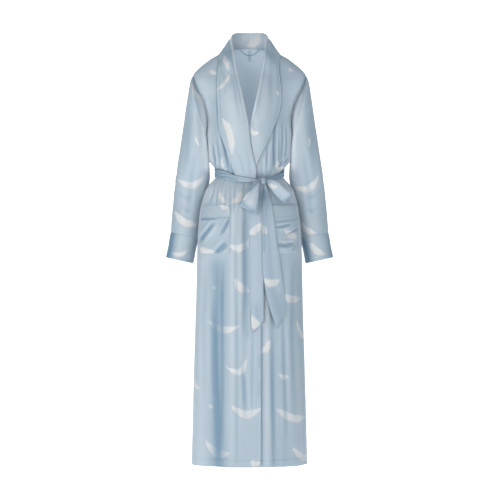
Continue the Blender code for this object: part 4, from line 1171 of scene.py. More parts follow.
def lay_feather(piece, quill, tip, bend, half_width, best):
    """Give the cloth round a feather its coordinates along and across the shaft."""
    across = piece.u_points - 0.5 * (quill[0] + tip[0])
    if piece.closed:
        girth = piece.girth[:, None]
        across = (across + girth / 2) % girth - girth / 2
    down = piece.v_points - 0.5 * (quill[1] + tip[1])
    shaft = np.array(tip) - np.array(quill)
    heading = shaft / np.hypot(*shaft)
    length = FEATHER_REACH * float(np.hypot(*shaft))
    along = (across * heading[0] + down * heading[1]) / length
    aside = down * heading[0] - across * heading[1]
    aside = (aside - bend * length * (1 - 4 * along * along)) / (FEATHER_FULLNESS * half_width)
    reach = np.maximum(np.abs(along) / FEATHER_HALF_LENGTH, np.abs(aside) / FEATHER_SIDE_REACH)
    weight = 1 - smooth(1.0, FEATHER_FADE, reach)
    closer = weight > best
    best[closer] = weight[closer]
    piece.feather[closer] = np.stack((along + 0.5, aside, weight), axis=-1)[closer]


def print_feathers(piece, seed, all_round):
    """The photograph's feathers on the seen side and scattered ones everywhere else."""
    rows, columns = piece.outer.shape[:2]
    piece.feather = np.zeros((rows, columns, 3))
    best = np.full((rows, columns), 1e-6)
    place = picture_place(piece.outer)
    seen = piece.normal[..., 1] < 0.1
    used = []
    seen_cloth = np.stack((piece.u_points[seen], piece.v_points[seen]), axis=-1)[::7]
    for motif in (motif for motif in MOTIFS if motif.piece == piece.name):
        middle = 0.5 * (np.array(motif.quill) + np.array(motif.tip))
        gap = np.where(seen, np.hypot(*np.moveaxis(place - middle, -1, 0)), np.inf)
        row, column = np.unravel_index(np.argmin(gap), gap.shape)
        here = slice(max(row - 1, 0), row + 2), slice(max(column - 1, 0), column + 2)
        cloth = np.stack((piece.u_points[here], piece.v_points[here]), axis=-1).reshape(-1, 2)
        cloth = cloth - cloth.mean(axis=0)
        picture = place[here].reshape(-1, 2)
        to_cloth = np.linalg.lstsq(picture - picture.mean(axis=0), cloth, rcond=None)[0]
        origin = np.array((piece.u_points[row, column], piece.v_points[row, column]))
        quill, bow, tip = (
            origin + (np.array(point) - place[row, column]) @ to_cloth
            for point in (motif.quill, motif.middle, motif.tip)
        )
        shaft = tip - quill
        offset = bow - 0.5 * (quill + tip)
        bend = float(offset[1] * shaft[0] - offset[0] * shaft[1]) / float(shaft @ shaft)
        lay_feather(piece, quill, tip, bend, motif.half_width * MM, best)
        used.append(tuple(origin))
    random = np.random.default_rng(seed)
    area = (piece.u_points.max() - piece.u_points.min()) * piece.v_points.max()
    for _ in range(int(FEATHER_COUNT + FEATHER_DENSITY * area)):
        row = int(random.integers(0, rows))
        column = int(random.integers(0, columns))
        turn = random.uniform(-FEATHER_TURN, FEATHER_TURN) + (np.pi if random.random() < 0.5 else 0.0)
        reach = 0.5 * random.uniform(*FEATHER_LENGTHS)
        bend = random.uniform(*FEATHER_BENDS) * (1 if abs(turn) < 1 else -1)
        half_width = random.uniform(*FEATHER_HALF_WIDTHS)
        u, v = piece.u_points[row, column], piece.v_points[row, column]
        if not all_round and np.hypot(*(seen_cloth - (u, v)).T).min() < FEATHER_MARGIN:
            continue
        if used and min(math.hypot(u - a, v - b) for a, b in used) < FEATHER_GAP:
            continue
        step = np.array((math.cos(turn), math.sin(turn))) * reach
        lay_feather(piece, (u, v) - step, (u, v) + step, bend, half_width, best)
        used.append((u, v))


def body_levels():
    """Levels of the body's rows, from the neck to the hem, close together round the armhole."""
    reach = SHOULDER_LEVEL - UNDERARM_LEVEL
    above = np.linspace(NECK_LEVEL, SHOULDER_LEVEL, 24)[:-1]
    steps = np.arange(ARMHOLE_STEPS + 1)
    armhole = SHOULDER_LEVEL - reach * (1 - np.cos(np.pi * steps / ARMHOLE_STEPS)) / 2
    below = np.linspace(UNDERARM_LEVEL, HEM_LEVEL, int((UNDERARM_LEVEL - HEM_LEVEL) / ROW_STEP))[1:]
    return np.concatenate((above, armhole, below)), len(above)


LEVELS, ARMHOLE_FIRST = body_levels()
ARMHOLE_ROWS = slice(ARMHOLE_FIRST, ARMHOLE_FIRST + ARMHOLE_STEPS + 1)


def sewn(distance, along):
    """Distances from a line of sewing and places along it, for the stitches."""
    return np.stack((distance, along, np.zeros_like(distance)), axis=-1)


def stitch_lines(levels, u):
    """Distance from the hem's stitching and the place along it."""
    return sewn(np.abs(levels - (HEM_LEVEL + HEM_STITCH)), u)


def ribbon_hems(piece):
    """Sewing along both edges of a ribbon."""
    from_edge = np.minimum(piece.u, piece.u[:, -1:] - piece.u)
    return sewn(np.abs(from_edge - RIBBON_STITCH), piece.v)


def body_panel(name, angle, level, lift, creases, seed, middle_column, flip):
    """A front or the back, with its folds, gathers, creases and hem."""
    base = body_point(angle, level, lift)
    normal = facing_out(base, centre=base * np.array((0.0, 0.0, 1.0)))
    u, v = cloth_lengths(base)
    height = crease_height(picture_place(base), creases)
    # Painted shade in the creases' valleys
    tone = painted_crease_shading(height)
    quiet = smooth(SHOULDER_LEVEL + 60 * MM, SHOULDER_LEVEL - 120 * MM, level)
    height = height + drape(u * flip, v, seed) * (0.25 + 0.75 * quiet)
    gathers = fine_gathers(angle, level)
    height = height + gathers
    folds = fold_height(angle, level)
    # Painted shade in the gathers' and folds' valleys, and painted light on their ridges
    tone = tone + 0.8 * painted_crease_shading(gathers - 0.3 * MM, 2.2 * MM) + 0.4 * painted_crease_shading(folds, 6 * MM)
    hem = smooth(HEM_LEVEL + 21.5 * MM, HEM_LEVEL + 19 * MM, level)
    pinched = np.exp(-((level - HEM_LEVEL - HEM_STITCH) / (1.6 * MM)) ** 2)
    height = height + 0.35 * MM * hem - 0.35 * MM * pinched
    height = height + 1.3 * MM * smooth(HEM_LEVEL + 130 * MM, HEM_LEVEL, level) * np.sin(u * 46 + 2 * v)
    piece = Piece(name, base, normal, SATIN_THICK, middle_column=middle_column, flip=flip)
    piece.tone = tone
    return piece, height


def make_fronts():
    """Both fronts, from their inner edges to their side seams and armholes."""
    fronts = {}
    for number, side in enumerate(SIGN):
        level = LEVELS[:, None]
        start = edge_angle(side, level)
        end = SIGN[side] * (SIDE_ANGLE - armhole_angle(level))
        share = np.linspace(0, 1, FRONT_COLUMNS + 1)[None, :]
        angle = start + (end - start) * share
        level = np.broadcast_to(level, angle.shape)
        lift = underlap(angle, level) if side == "left" else np.zeros(angle.shape)
        piece, height = body_panel(
            "front_" + side, angle, level, lift, BODICE_CREASES + SKIRT_CREASES,
            FRONT_SEED + number, None, SIGN[side],
        )
        edge = np.abs(piece.u)
        calm = smooth(2 * MM, 30 * MM, edge)
        height = height * (0.35 + 0.65 * calm)
        pucker = np.exp(-((edge - 9 * MM) / (5 * MM)) ** 2) * np.sin(piece.v * 2 * np.pi / (13 * MM))
        height = height + 0.28 * MM * pucker * smooth(-430 * MM, -470 * MM, level)
        hem = stitch_lines(level, piece.u)
        down_edge = sewn(np.abs(edge - EDGE_STITCH), piece.v)
        nearer = (down_edge[..., 0] < hem[..., 0])[..., None]
        piece.stitch = np.where(nearer, down_edge, hem)
        # Painted shadow, shade and light from the fronts' soft areas
        piece.tone = piece.tone + painted_tone(picture_place(piece.outer), FRONT_TONES)
        piece.shift(height)
        piece.pressed = armhole_ease(piece)
        fronts[side] = piece
    return fronts


def make_back():
    """The back, from the wearer's left side seam to the right one."""
    level = LEVELS[:, None]
    start = SIDE_ANGLE + armhole_angle(level)
    share = np.linspace(0, 1, BACK_COLUMNS + 1)[None, :]
    angle = start + (360.0 - 2 * start) * share
    level = np.broadcast_to(level, angle.shape)
    piece, height = body_panel(
        "back", angle, level, np.zeros(angle.shape), BACK_CREASES,
        BACK_SEED, BACK_COLUMNS // 2, -1.0,
    )
    piece.stitch = stitch_lines(level, piece.u)
    piece.shift(height)
    return piece


def joined_edges(fronts, back):
    """Pull the side seams of the fronts and the back onto one line."""
    for side, column in (("left", 0), ("right", -1)):
        front = fronts[side]
        middle = 0.5 * (front.outer[:, -1] + back.outer[:, column])
        for number in range(1, SEAM_COLUMNS):
            share = (1 - number / SEAM_COLUMNS) ** 2
            front.outer[:, -1 - number] += share * (middle - front.outer[:, -1])
            place = number if column == 0 else -1 - number
            back.outer[:, place] += share * (middle - back.outer[:, column])
        front.outer[:, -1] = middle
        back.outer[:, column] = middle


def armhole_loop(fronts, back, side):
    """Armhole edge of the body: down the front from the shoulder and up the back."""
    front = fronts[side].outer[ARMHOLE_ROWS, -1]
    column = 0 if side == "left" else -1
    behind = back.outer[ARMHOLE_ROWS, column]
    return np.concatenate((front, behind[-2:0:-1]))


def armhole_ease(piece):
    """How far the front of the cloth near the armhole is turned to lie flat."""
    near = painted_tone(picture_place(piece.outer), ARMHOLE_FLAT)
    return near * smooth(0.3, -0.2, piece.normal[..., 1])


def ring_points(ring, sign, squareness=1.0, steps=ARMHOLE_STEPS):
    """Points of a sleeve ring, in the armhole's order; a squareness below one fills its inner front."""
    turn = np.pi * np.arange(2 * steps) / steps
    outer = np.array((sign * ring.outer_x, ring.middle_y, ring.outer_z)) * MM
    inner = np.array((sign * ring.inner_x, ring.middle_y, ring.inner_z)) * MM
    middle = (outer + inner) / 2
    reach = (outer - inner) / 2
    depth = np.array((0.0, -ring.half_depth * MM, 0.0))
    across = np.cos(turn)
    forward = np.sin(turn)
    inner_front = (across < 0) & (forward > 0)
    across = np.where(inner_front, -np.abs(across) ** squareness, across)
    forward = np.where(inner_front, np.abs(forward) ** squareness, forward)
    return middle + across[:, None] * reach + forward[:, None] * depth


def make_sleeve(fronts, back, side, seed):
    """A sleeve from the armhole to its cuff."""
    sign = SIGN[side]
    rings = [armhole_loop(fronts, back, side)]
    rings += [ring_points(ring, sign, share) for ring, share in zip(SLEEVE_RINGS, SLEEVE_SQUARENESS)]
    grid = through(rings, SLEEVE_ROWS)
    normal = facing_out(grid, True)
    piece = Piece("sleeve_" + side, grid, normal, SATIN_THICK, closed=True, flip=-sign)
    u = piece.u[:, :-1]
    v = piece.v[:, :-1]
    front_face = smooth(0.15, -0.25, normal[..., 1])
    place = picture_place(grid)
    height = crease_height(place, SLEEVE_CREASES) * front_face
    behind = crease_height(place, SLEEVE_CREASES[1:4] + SLEEVE_CREASES[7:10])
    height = height + 1.1 * behind * (1 - front_face)
    # Painted shade in the creases; on the front, the armhole's painted light and seam lines
    piece.tone = painted_crease_shading(height) + painted_tone(place, ARMHOLE_TONES) * front_face
    elbow = np.exp(-((v - 0.30) / 0.05) ** 2)
    rumple = np.sin(v * 118 + 3.0 * np.sin(u * 13 + sign))
    height = height + 0.9 * MM * elbow * rumple * (1 - front_face)
    height = height + drape(u, v, seed, 0.6 * MM)
    top = smooth(0.0, 26 * MM, v)
    low = smooth(v.max(), v.max() - 12 * MM, v)
    height = height * top * (0.3 + 0.7 * low)
    piece.shift(height)
    piece.pressed = armhole_ease(piece) * smooth(0.35, -0.1, normal[..., 1])
    return piece


def make_cuff(side, seed):
    """The cuff band at the end of a sleeve."""
    sign = SIGN[side]
    grid = through([ring_points(ring, sign) for ring in CUFF_RINGS], CUFF_ROWS)
    normal = facing_out(grid, True)
    piece = Piece("cuff_" + side, grid, normal, CUFF_CLOTH, closed=True, flip=-sign)
    u = piece.u[:, :-1]
    v = piece.v[:, :-1]
    total = v.max()
    rounded = np.minimum(v, total - v) / (3 * MM)
    height = -0.8 * MM * (1 - np.clip(rounded, 0, 1)) ** 2
    height = height + drape(u, v, seed, 0.45 * MM)
    height = height + 0.35 * MM * np.sin(v * 95 + 1.5 * np.sin(u * 21))
    distance = np.minimum(np.abs(v - 4 * MM), np.abs(v - total + 5 * MM))
    piece.stitch = sewn(distance, u)
    # Painted shade down the cuff's rounded sides
    piece.tone = painted_tone(picture_place(grid), CUFF_TONES)
    piece.shift(height)
    return piece


def neck_section(row, side):
    """Path across the collar at the neck: up the stand, over the roll and down the fall."""
    sign = SIGN[side]
    turned = np.array((sign, 1.0, 1.0))
    at_front = 4.0 * SEAM if row.seam_angle < 70 else 0.0
    seam = body_point(row.seam_angle, NECK_LEVEL)
    seam = seam + np.array((-at_front, 0, 2.0 * SEAM + 0.5 * at_front))
    roll = np.array((row.roll_x, row.roll_y, row.roll_z)) * MM
    edge = body_point(row.edge_angle, row.edge_level * MM, 3.2 * MM)
    out = np.array((roll[0], roll[1], 0.0))
    out = out / np.linalg.norm(out)
    up = np.array((0.0, 0.0, 1.0))
    fall = edge - roll
    swell = 0.30 + 0.70 * float(smooth(105, 150, row.seam_angle))
    bulge = np.array((out[0], out[1], 0.35)) * swell
    path = [
        seam,
        seam + 0.45 * (roll - seam),
        roll - 6 * MM * up - 0.6 * MM * out,
        roll - 1.5 * MM * up + 0.3 * MM * out,
        roll + 2.2 * MM * out,
        roll - 1.2 * MM * up + (3.4 + 1.2 * swell) * MM * out,
        roll - 6 * MM * up + (4.4 + 1.8 * swell) * MM * out,
        roll + 0.28 * fall + 7.2 * MM * bulge,
        roll + 0.50 * fall + 7.0 * MM * bulge,
        roll + 0.72 * fall + 5.0 * MM * bulge,
        roll + 0.90 * fall + 2.4 * MM * bulge,
        edge,
    ]
    return np.array(path) * turned


def lapel_point(x, z, lift, side, folded=True):
    """Point over a front, lifted off it."""
    angle, level = front_place(x, z)
    if side == "right":
        return body_point(angle, level, lift, folded)
    depth = underlap(angle, level)
    squeezed = 1 + 0.28 * depth / UNDERLAP_DEPTH
    return body_point(angle, level, lift * squeezed + depth, folded)


def lapel_section(fronts, row, side, lapel):
    """Path across the collar on the chest: out from the seam, round the roll and over the front."""
    sign = SIGN[side]
    base = fronts[side].outer - 0.5 * CLOTH * fronts[side].normal
    seam = base[row, 0]
    inward = base[row, 0] - base[row, 4]
    inward = inward / np.linalg.norm(inward)
    roll_z = seam[2]
    roll_x = float(lapel["roll_x"](roll_z))
    edge_x = float(lapel["edge_x"](roll_z))
    edge_z = float(lapel["edge_z"](roll_z))
    strip = sign * seam[0] - roll_x
    pressed = 1 - 0.25 * float(smooth(-330 * MM, -385 * MM, roll_z))
    pressed = pressed + 0.6 * float(smooth(-70 * MM, 0, roll_z))
    # Each stop: x, height and lift off the front
    stops = (
        (roll_x + 0.60 * strip, roll_z, -1.0),
        (roll_x + 0.25 * strip, roll_z, -0.9),
        (roll_x + 1.0 * MM, roll_z, -0.1),
        (roll_x, roll_z, 1.3),
        (roll_x + 1.0 * MM, roll_z, 2.8),
        (roll_x + 4.0 * MM, roll_z - 0.5 * MM, 3.9),
    )
    spread = ((0.22, 5.0), (0.42, 5.4), (0.62, 5.2), (0.82, 4.6), (1.0, 3.8))
    path = [seam + inward * 1.4 * SEAM]
    for x, z, lift in stops:
        path.append(lapel_point(sign * x, z, lift * MM, side))
    for share, lift in spread:
        x = roll_x + share * (edge_x - roll_x)
        z = roll_z + share * (edge_z - roll_z)
        path.append(lapel_point(sign * x, z, lift * MM * pressed, side, folded=False))
    return np.array(path)


def make_collar(fronts, side, lapel_rows, seed):
    """Half of the shawl collar, from the centre back to the belt."""
    lapel = {
        field: Curve(lapel_rows, "roll_z", field)
        for field in ("roll_x", "edge_x", "edge_z")
    }
    sections = [neck_section(row, side) for row in NECK_ROWS]
    last = int(np.searchsorted(-LEVELS, -COLLAR_END_LEVEL))
    chosen = list(range(5, last, 7))
    sections += [lapel_section(fronts, row, side, lapel) for row in chosen]
    rows = through(np.array(sections), COLLAR_ROWS)
    grid = np.swapaxes(through(np.swapaxes(rows, 0, 1), COLLAR_COLUMNS, COLLAR_PLACES), 0, 1)
    grid[0, :, 0] = 0.0
    normal = facing_front(grid, COLLAR_ROWS // 2, -8)
    grid = grid + 0.5 * COLLAR_CLOTH * normal
    piece = Piece("collar_" + side, grid, normal, FOLDED_THICK, flip=SIGN[side])
    u = np.abs(piece.u)
    place = picture_place(grid)
    fall = smooth(0.40, 0.55, np.linspace(0, 1, COLLAR_COLUMNS))[None, :]
    seen = fall * smooth(0.1, -0.2, normal[..., 1])
    height = crease_height(place, COLLAR_CREASES) * seen
    # Painted shade in the creases, painted shadow and light on the fall, highlights on the roll and
    # light on the stand
    piece.tone = painted_crease_shading(height) + painted_tone(place, COLLAR_TONES) * seen
    piece.tone = piece.tone + painted_tone(place, ROLL_TONES) * smooth(0.5, 0.2, normal[..., 1])
    piece.tone = piece.tone + painted_tone(place, STAND_TONES) * (1 - fall)
    height = height + drape(u, piece.v, seed, 0.30 * MM) * fall
    from_edge = u[:, -1:] - u
    height = height - 0.35 * MM * np.exp(-((from_edge - COLLAR_STITCH) / (1.8 * MM)) ** 2)
    height = height + 0.15 * MM * np.exp(-(from_edge / (4 * MM)) ** 2)
    piece.stitch = sewn(np.abs(from_edge - COLLAR_STITCH), piece.v)
    piece.shift(height)
    return piece


def pocket_share(side):
    """Where a pocket's edges fall across its front, as shares of the front's width."""
    level = np.array(POCKET_TOP)
    start = edge_angle(side, level)
    end = SIGN[side] * SIDE_ANGLE
    near, far = sorted(POCKET_SPANS[side], key=abs)
    return float((near - start) / (end - start)), float((far - start) / (end - start))


def over_front(front, levels, shares):
    """Points and normals of a front at levels and shares of its width."""
    row = np.interp(-levels, -LEVELS, np.arange(len(LEVELS)))
    column = shares * FRONT_COLUMNS
    low_row = np.clip(row.astype(int), 0, len(LEVELS) - 2)
    low_column = np.clip(column.astype(int), 0, FRONT_COLUMNS - 1)
    part_row = (row - low_row)[:, None, None]
    part_column = (column - low_column)[None, :, None]

    def blend(values):
        first = values[low_row][:, low_column] * (1 - part_column)
        first = first + values[low_row][:, low_column + 1] * part_column
        second = values[low_row + 1][:, low_column] * (1 - part_column)
        second = second + values[low_row + 1][:, low_column + 1] * part_column
        return first * (1 - part_row) + second * part_row

    return blend(front.outer), blend(front.normal)


def make_pocket(front, side, part, seed):
    """A patch on a front: the pocket itself or the band along its mouth."""
    near, far = pocket_share(side)
    shares = np.linspace(near, far, POCKET_COLUMNS)
    levels = np.linspace(part.top, part.bottom, part.rows)
    points, normal = over_front(front, levels, shares)
    normal = normal / np.linalg.norm(normal, axis=-1, keepdims=True)
    down = np.linspace(0, 1, len(levels))[:, None]
    across = np.linspace(0, 1, len(shares))[None, :]
    side_in = np.clip(np.minimum(across, 1 - across) / 0.09, 0, 1) ** 0.5
    low_in = np.ones_like(down) if part.is_band else np.clip((1 - down) / 0.07, 0, 1) ** 0.5
    puff = side_in * low_in
    height = 1.0 * MM + part.lift * puff
    if part.is_band:
        height = height + 1.1 * MM * puff * (1 - down)
        lip = np.clip(np.minimum(down, 1 - down) / 0.12, 0, 1)
        height = height - 0.5 * MM * (1 - lip) ** 2
    base = points + normal * height[..., None]
    piece = Piece(part.name + side, base, normal, SATIN_THICK, flip=SIGN[side])
    place = picture_place(base)
    extra = crease_height(place, POCKET_CREASES)
    # Painted shade in the creases; the pocket itself also takes painted shadow and light from soft
    # areas
    piece.tone = painted_crease_shading(extra)
    if part.is_band:
        extra = extra * 0.4
    else:
        piece.tone = piece.tone + painted_tone(place, POCKET_TONES)
    extra = extra + drape(piece.u, piece.v, seed, 0.35 * MM) * puff
    piece.shift(np.maximum(extra, -0.75 * height) * (0.2 + 0.8 * puff))
    u = np.abs(piece.u)
    width = u[:, -1:]
    inset = np.minimum(u, width - u)
    length = piece.v.max()
    if part.is_band:
        distance = np.minimum(np.abs(inset - 2 * MM), np.abs(piece.v - length + 3 * MM))
    else:
        distance = np.minimum(np.abs(inset - 2.5 * MM), np.abs(length - piece.v - 2.5 * MM))
    piece.stitch = sewn(distance, piece.u + piece.v)
    return piece


def belt_lift(angle):
    """Lift of the belt's inner face, higher where it crosses the collar."""
    over_collar = smooth(-38, -26, angle) * (1 - smooth(20, 33, angle))
    return 3.0 * MM + 3.2 * MM * over_collar


def belt_point(angle, share, lift):
    """Point on the belt; share runs from -1 at its lower edge to 1 at its upper edge."""
    wrapped_angle = wrapped(angle)
    level = WAIST_LEVEL + share * BELT_HALF(wrapped_angle)
    point = body_point(angle, np.full(np.shape(angle), WAIST_LEVEL), lift, folded=False)
    at_level = body_point(angle, level, 0.0, folded=False)
    point[..., 2] = at_level[..., 2]
    return point


def belt_flare(angle, share):
    """Extra lift that keeps the belt's edges off the cloth swelling above and below it."""
    level = WAIST_LEVEL + share * BELT_HALF(wrapped(angle))
    at_level = HALF_WIDTH(level)
    return 1.2 * MM * abs(share) + 1.15 * np.clip(at_level - HALF_WIDTH(WAIST_LEVEL), 0, None)


def make_belt():
    """The run of the belt round the waist, crushed into long creases."""
    angle = np.linspace(-180, 180, BELT_COLUMNS, endpoint=False)
    turn = np.radians(angle)
    lines = []
    tones = []
    for share in np.linspace(1, -1, BELT_ROWS):
        bulge = 1.6 * (1 - share ** 2) ** 0.7 + 0.2
        front = smooth(-120, -60, wrapped(angle)) * (1 - smooth(60, 120, wrapped(angle)))
        phase = 7.5 * share + 1.3 * np.sin(3 * turn + 0.7) + 0.9 * np.sin(7 * turn + 2)
        crush = (0.35 + 0.75 * front) * MM * np.cos(phase) * (1 - 0.6 * share ** 2)
        crush = crush + 0.3 * MM * np.cos(15.0 * share + 2.0 * np.sin(5 * turn))
        pleat = 0.35 * MM * front * np.sin(46 * turn + 6 * np.sin(3 * turn) + 2 * share)
        tones.append(painted_crease_shading(crush + pleat, 1.2 * MM))
        lift = belt_lift(wrapped(angle)) + belt_flare(angle, share) + CLOTH + bulge * MM
        lines.append(belt_point(angle, share, lift + np.maximum(crush + pleat, -1.1 * MM)))
    grid = np.array(lines)
    normal = facing_out(grid, True)
    piece = Piece("belt", grid, normal, FOLDED_THICK, closed=True)
    # Painted shade over the whole belt and in its crushed creases, with painted shade and light from
    # soft areas
    painted = painted_tone(picture_place(grid), BELT_TONES) * (normal[..., 1] < 0)
    piece.tone = BELT_SHADE + np.array(tones) + painted
    return piece


def ribbon_creases(u, v, seed, height):
    """Soft creases that run along a ribbon and fan out of the knot."""
    random = np.random.default_rng(seed)
    waves = np.zeros(u.shape)
    for _ in range(5):
        count = random.uniform(2.0, 5.5)
        turn = random.uniform(0, 2 * np.pi)
        lean = random.uniform(-14, 14)
        waves = waves + np.cos(count * np.pi * u + lean * v + turn)
    return height * waves / 2.2


def make_loop(name, rows, tones, seed):
    """A loop of the bow: a ribbon that runs out, turns round and comes back."""
    lines = []
    for row in rows:
        slant = math.radians(row.slant)
        across = np.array((math.cos(slant), 0.0, math.sin(slant))) * row.half_width * MM
        middle = np.array((row.x, row.y, row.z)) * MM
        crown = np.array((0.0, -0.08 * row.half_width * MM, 0.0))
        lines.append([
            middle + share * across + (1 - share * share) * crown
            for share in np.linspace(-1, 1, RIBBON_COLUMNS)
        ])
    grid = through(np.array(lines), LOOP_ROWS)
    normal = facing_front(grid, LOOP_ROWS // 4, RIBBON_COLUMNS // 2)
    piece = Piece(name, grid, normal, FOLDED_THICK)
    along = np.linspace(0, 1, len(grid))[:, None]
    share = np.broadcast_to(np.linspace(-1, 1, RIBBON_COLUMNS)[None, :], grid.shape[:2])
    near_knot = smooth(0.34, 0.0, along) + smooth(0.66, 1.0, along)
    height = ribbon_creases(share, piece.v, seed, 0.8 * MM) * (0.12 + 0.88 * near_knot)
    outer_side = (along < 0.5) * 1.0
    # Painted shade in the creases, and painted shade and light on the loop's outer side
    piece.tone = painted_crease_shading(height, 2.0 * MM) + painted_tone(picture_place(grid), tones) * outer_side
    edge = np.clip((1 - np.abs(share)) / 0.12, 0, 1)
    height = height * (0.4 + 0.6 * edge)
    piece.stitch = ribbon_hems(piece)
    piece.shift(height)
    return piece


def make_tail(name, rows, knot_y, seed):
    """A hanging end of the belt, from the knot down the front of the skirt."""
    lines = []
    shares = np.linspace(0, 1, RIBBON_COLUMNS)
    for row in rows:
        x = (row.left_x + shares * (row.right_x - row.left_x)) * MM
        z = (row.left_z + shares * (row.right_z - row.left_z)) * MM
        angle, level = front_place(x, z)
        wave = 1.0 * MM * np.sin(2 * np.pi * shares)
        rest = body_point(angle, level, row.lift * MM + wave, folded=False)
        y = knot_y + row.follow * (rest[:, 1] - knot_y)
        lines.append(np.stack((x, y, z), axis=-1))
    grid = through(np.array(lines), TAIL_ROWS)
    normal = facing_front(grid, TAIL_ROWS // 2, RIBBON_COLUMNS // 2)
    piece = Piece(name, grid + 0.5 * CLOTH * normal, normal, FOLDED_THICK)
    share = np.broadcast_to(np.linspace(-1, 1, RIBBON_COLUMNS)[None, :], grid.shape[:2])
    fan = 0.20 + 0.80 * smooth(0.22, 0.0, piece.v)
    height = ribbon_creases(share, piece.v, seed, 0.6 * MM) * fan
    # Painted shade in the creases, and painted shadow lines and light from soft areas
    piece.tone = painted_crease_shading(height, 2.6 * MM) + painted_tone(picture_place(piece.outer), TAIL_TONES)
    edge = np.clip((1 - np.abs(share)) / 0.1, 0, 1)
    height = height * (0.3 + 0.7 * edge)
    piece.stitch = ribbon_hems(piece)
    piece.shift(height)
    return piece


def make_knot():
    """The knot: a tight wrap with folds running over it."""
    low, high = (np.array(corner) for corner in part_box("belt_knot"))
    middle = (low + high) / 2
    half = (high - low) / 2
    polar = np.linspace(0.06, math.pi - 0.06, KNOT_RINGS)[:, None]
    turn = np.linspace(0, 2 * np.pi, KNOT_COLUMNS, endpoint=False)[None, :]
    level = np.cos(polar)
    groove = 0.075 * np.cos(9 * level + 1.2 * np.cos(turn)) + 0.03 * np.cos(21 * level + 3 * turn)
    waist = 1 - 0.06 * np.cos(2 * turn)
    wide = np.sin(polar) ** 0.55 * waist * (0.93 + groove)
    x = middle[0] + half[0] * wide * np.cos(turn)
    y = middle[1] + half[1] * wide * np.sin(turn)
    z = middle[2] + half[2] * level * np.ones_like(turn)
    grid = np.stack(np.broadcast_arrays(x, y, z), axis=-1)
    normal = facing_out(grid, True)
    return Piece("belt_knot", grid, normal, FOLDED_THICK, closed=True)


class Graph:
    """A new material, with short ways to add nodes to it."""

    def __init__(self, name):
        self.material = bpy.data.materials.new(name)
        self.material.use_nodes = True
        tree = self.material.node_tree
        self.nodes = tree.nodes
        self.links = tree.links
        self.shader = tree.nodes["Principled BSDF"]

    def put(self, node, values):
        """Set values directly on a node's sockets, or link other sockets to them."""
        for name, value in values.items():
            socket = node.inputs[name]
            if isinstance(value, bpy.types.NodeSocket):
                self.links.new(value, socket)
            elif socket.type == "RGBA":
                socket.default_value = (*value, 1.0)
            else:
                socket.default_value = value

    def add(self, kind, values, **settings):
        """A new node with its settings and what its sockets hold."""
        node = self.nodes.new(kind)
        for name, value in settings.items():
            setattr(node, name, value)
        self.put(node, values)
        return node

    def attribute(self, name):
        """The node that reads a value stored on the points."""
        return self.add("ShaderNodeAttribute", {}, attribute_name=name)

    def cloth(self):
        """Place on the cloth, in metres across and down."""
        return self.add("ShaderNodeUVMap", {}, uv_map="cloth").outputs[0]

    def math(self, operation, *values, clamp=False):
        """The result of a Math node."""
        inputs = dict(enumerate(values))
        node = self.add("ShaderNodeMath", inputs, operation=operation, use_clamp=clamp)
        return node.outputs[0]

    def ramp(self, value, start, end, low=0.0, high=1.0):
        """Smooth change of a value between two places."""
        node = self.add("ShaderNodeMapRange", {
            "Value": value,
            "From Min": start,
            "From Max": end,
            "To Min": low,
            "To Max": high,
        }, interpolation_type="SMOOTHSTEP")
        return node.outputs["Result"]

    def noise(self, vector, scale, detail=2.0, roughness=0.5, distortion=0.0):
        """A noise texture's value."""
        node = self.add("ShaderNodeTexNoise", {
            "Vector": vector,
            "Scale": scale,
            "Detail": detail,
            "Roughness": roughness,
            "Distortion": distortion,
        })
        return node.outputs["Fac"]

    def mix(self, share, first, second):
        """A mix of two colours."""
        inputs = {"Factor": share, "A": first, "B": second}
        return self.add("ShaderNodeMix", inputs, data_type="RGBA").outputs["Result"]

    def bump(self, height, distance, strength, under=None, invert=False):
        """A normal bent by a height, on top of another normal."""
        values = {"Height": height, "Distance": distance, "Strength": strength}
        if under is not None:
            values["Normal"] = under
        return self.add("ShaderNodeBump", values, invert=invert).outputs[0]


def times(colour, amount):
    """A lighter or darker colour."""
    return tuple(amount * part for part in colour)


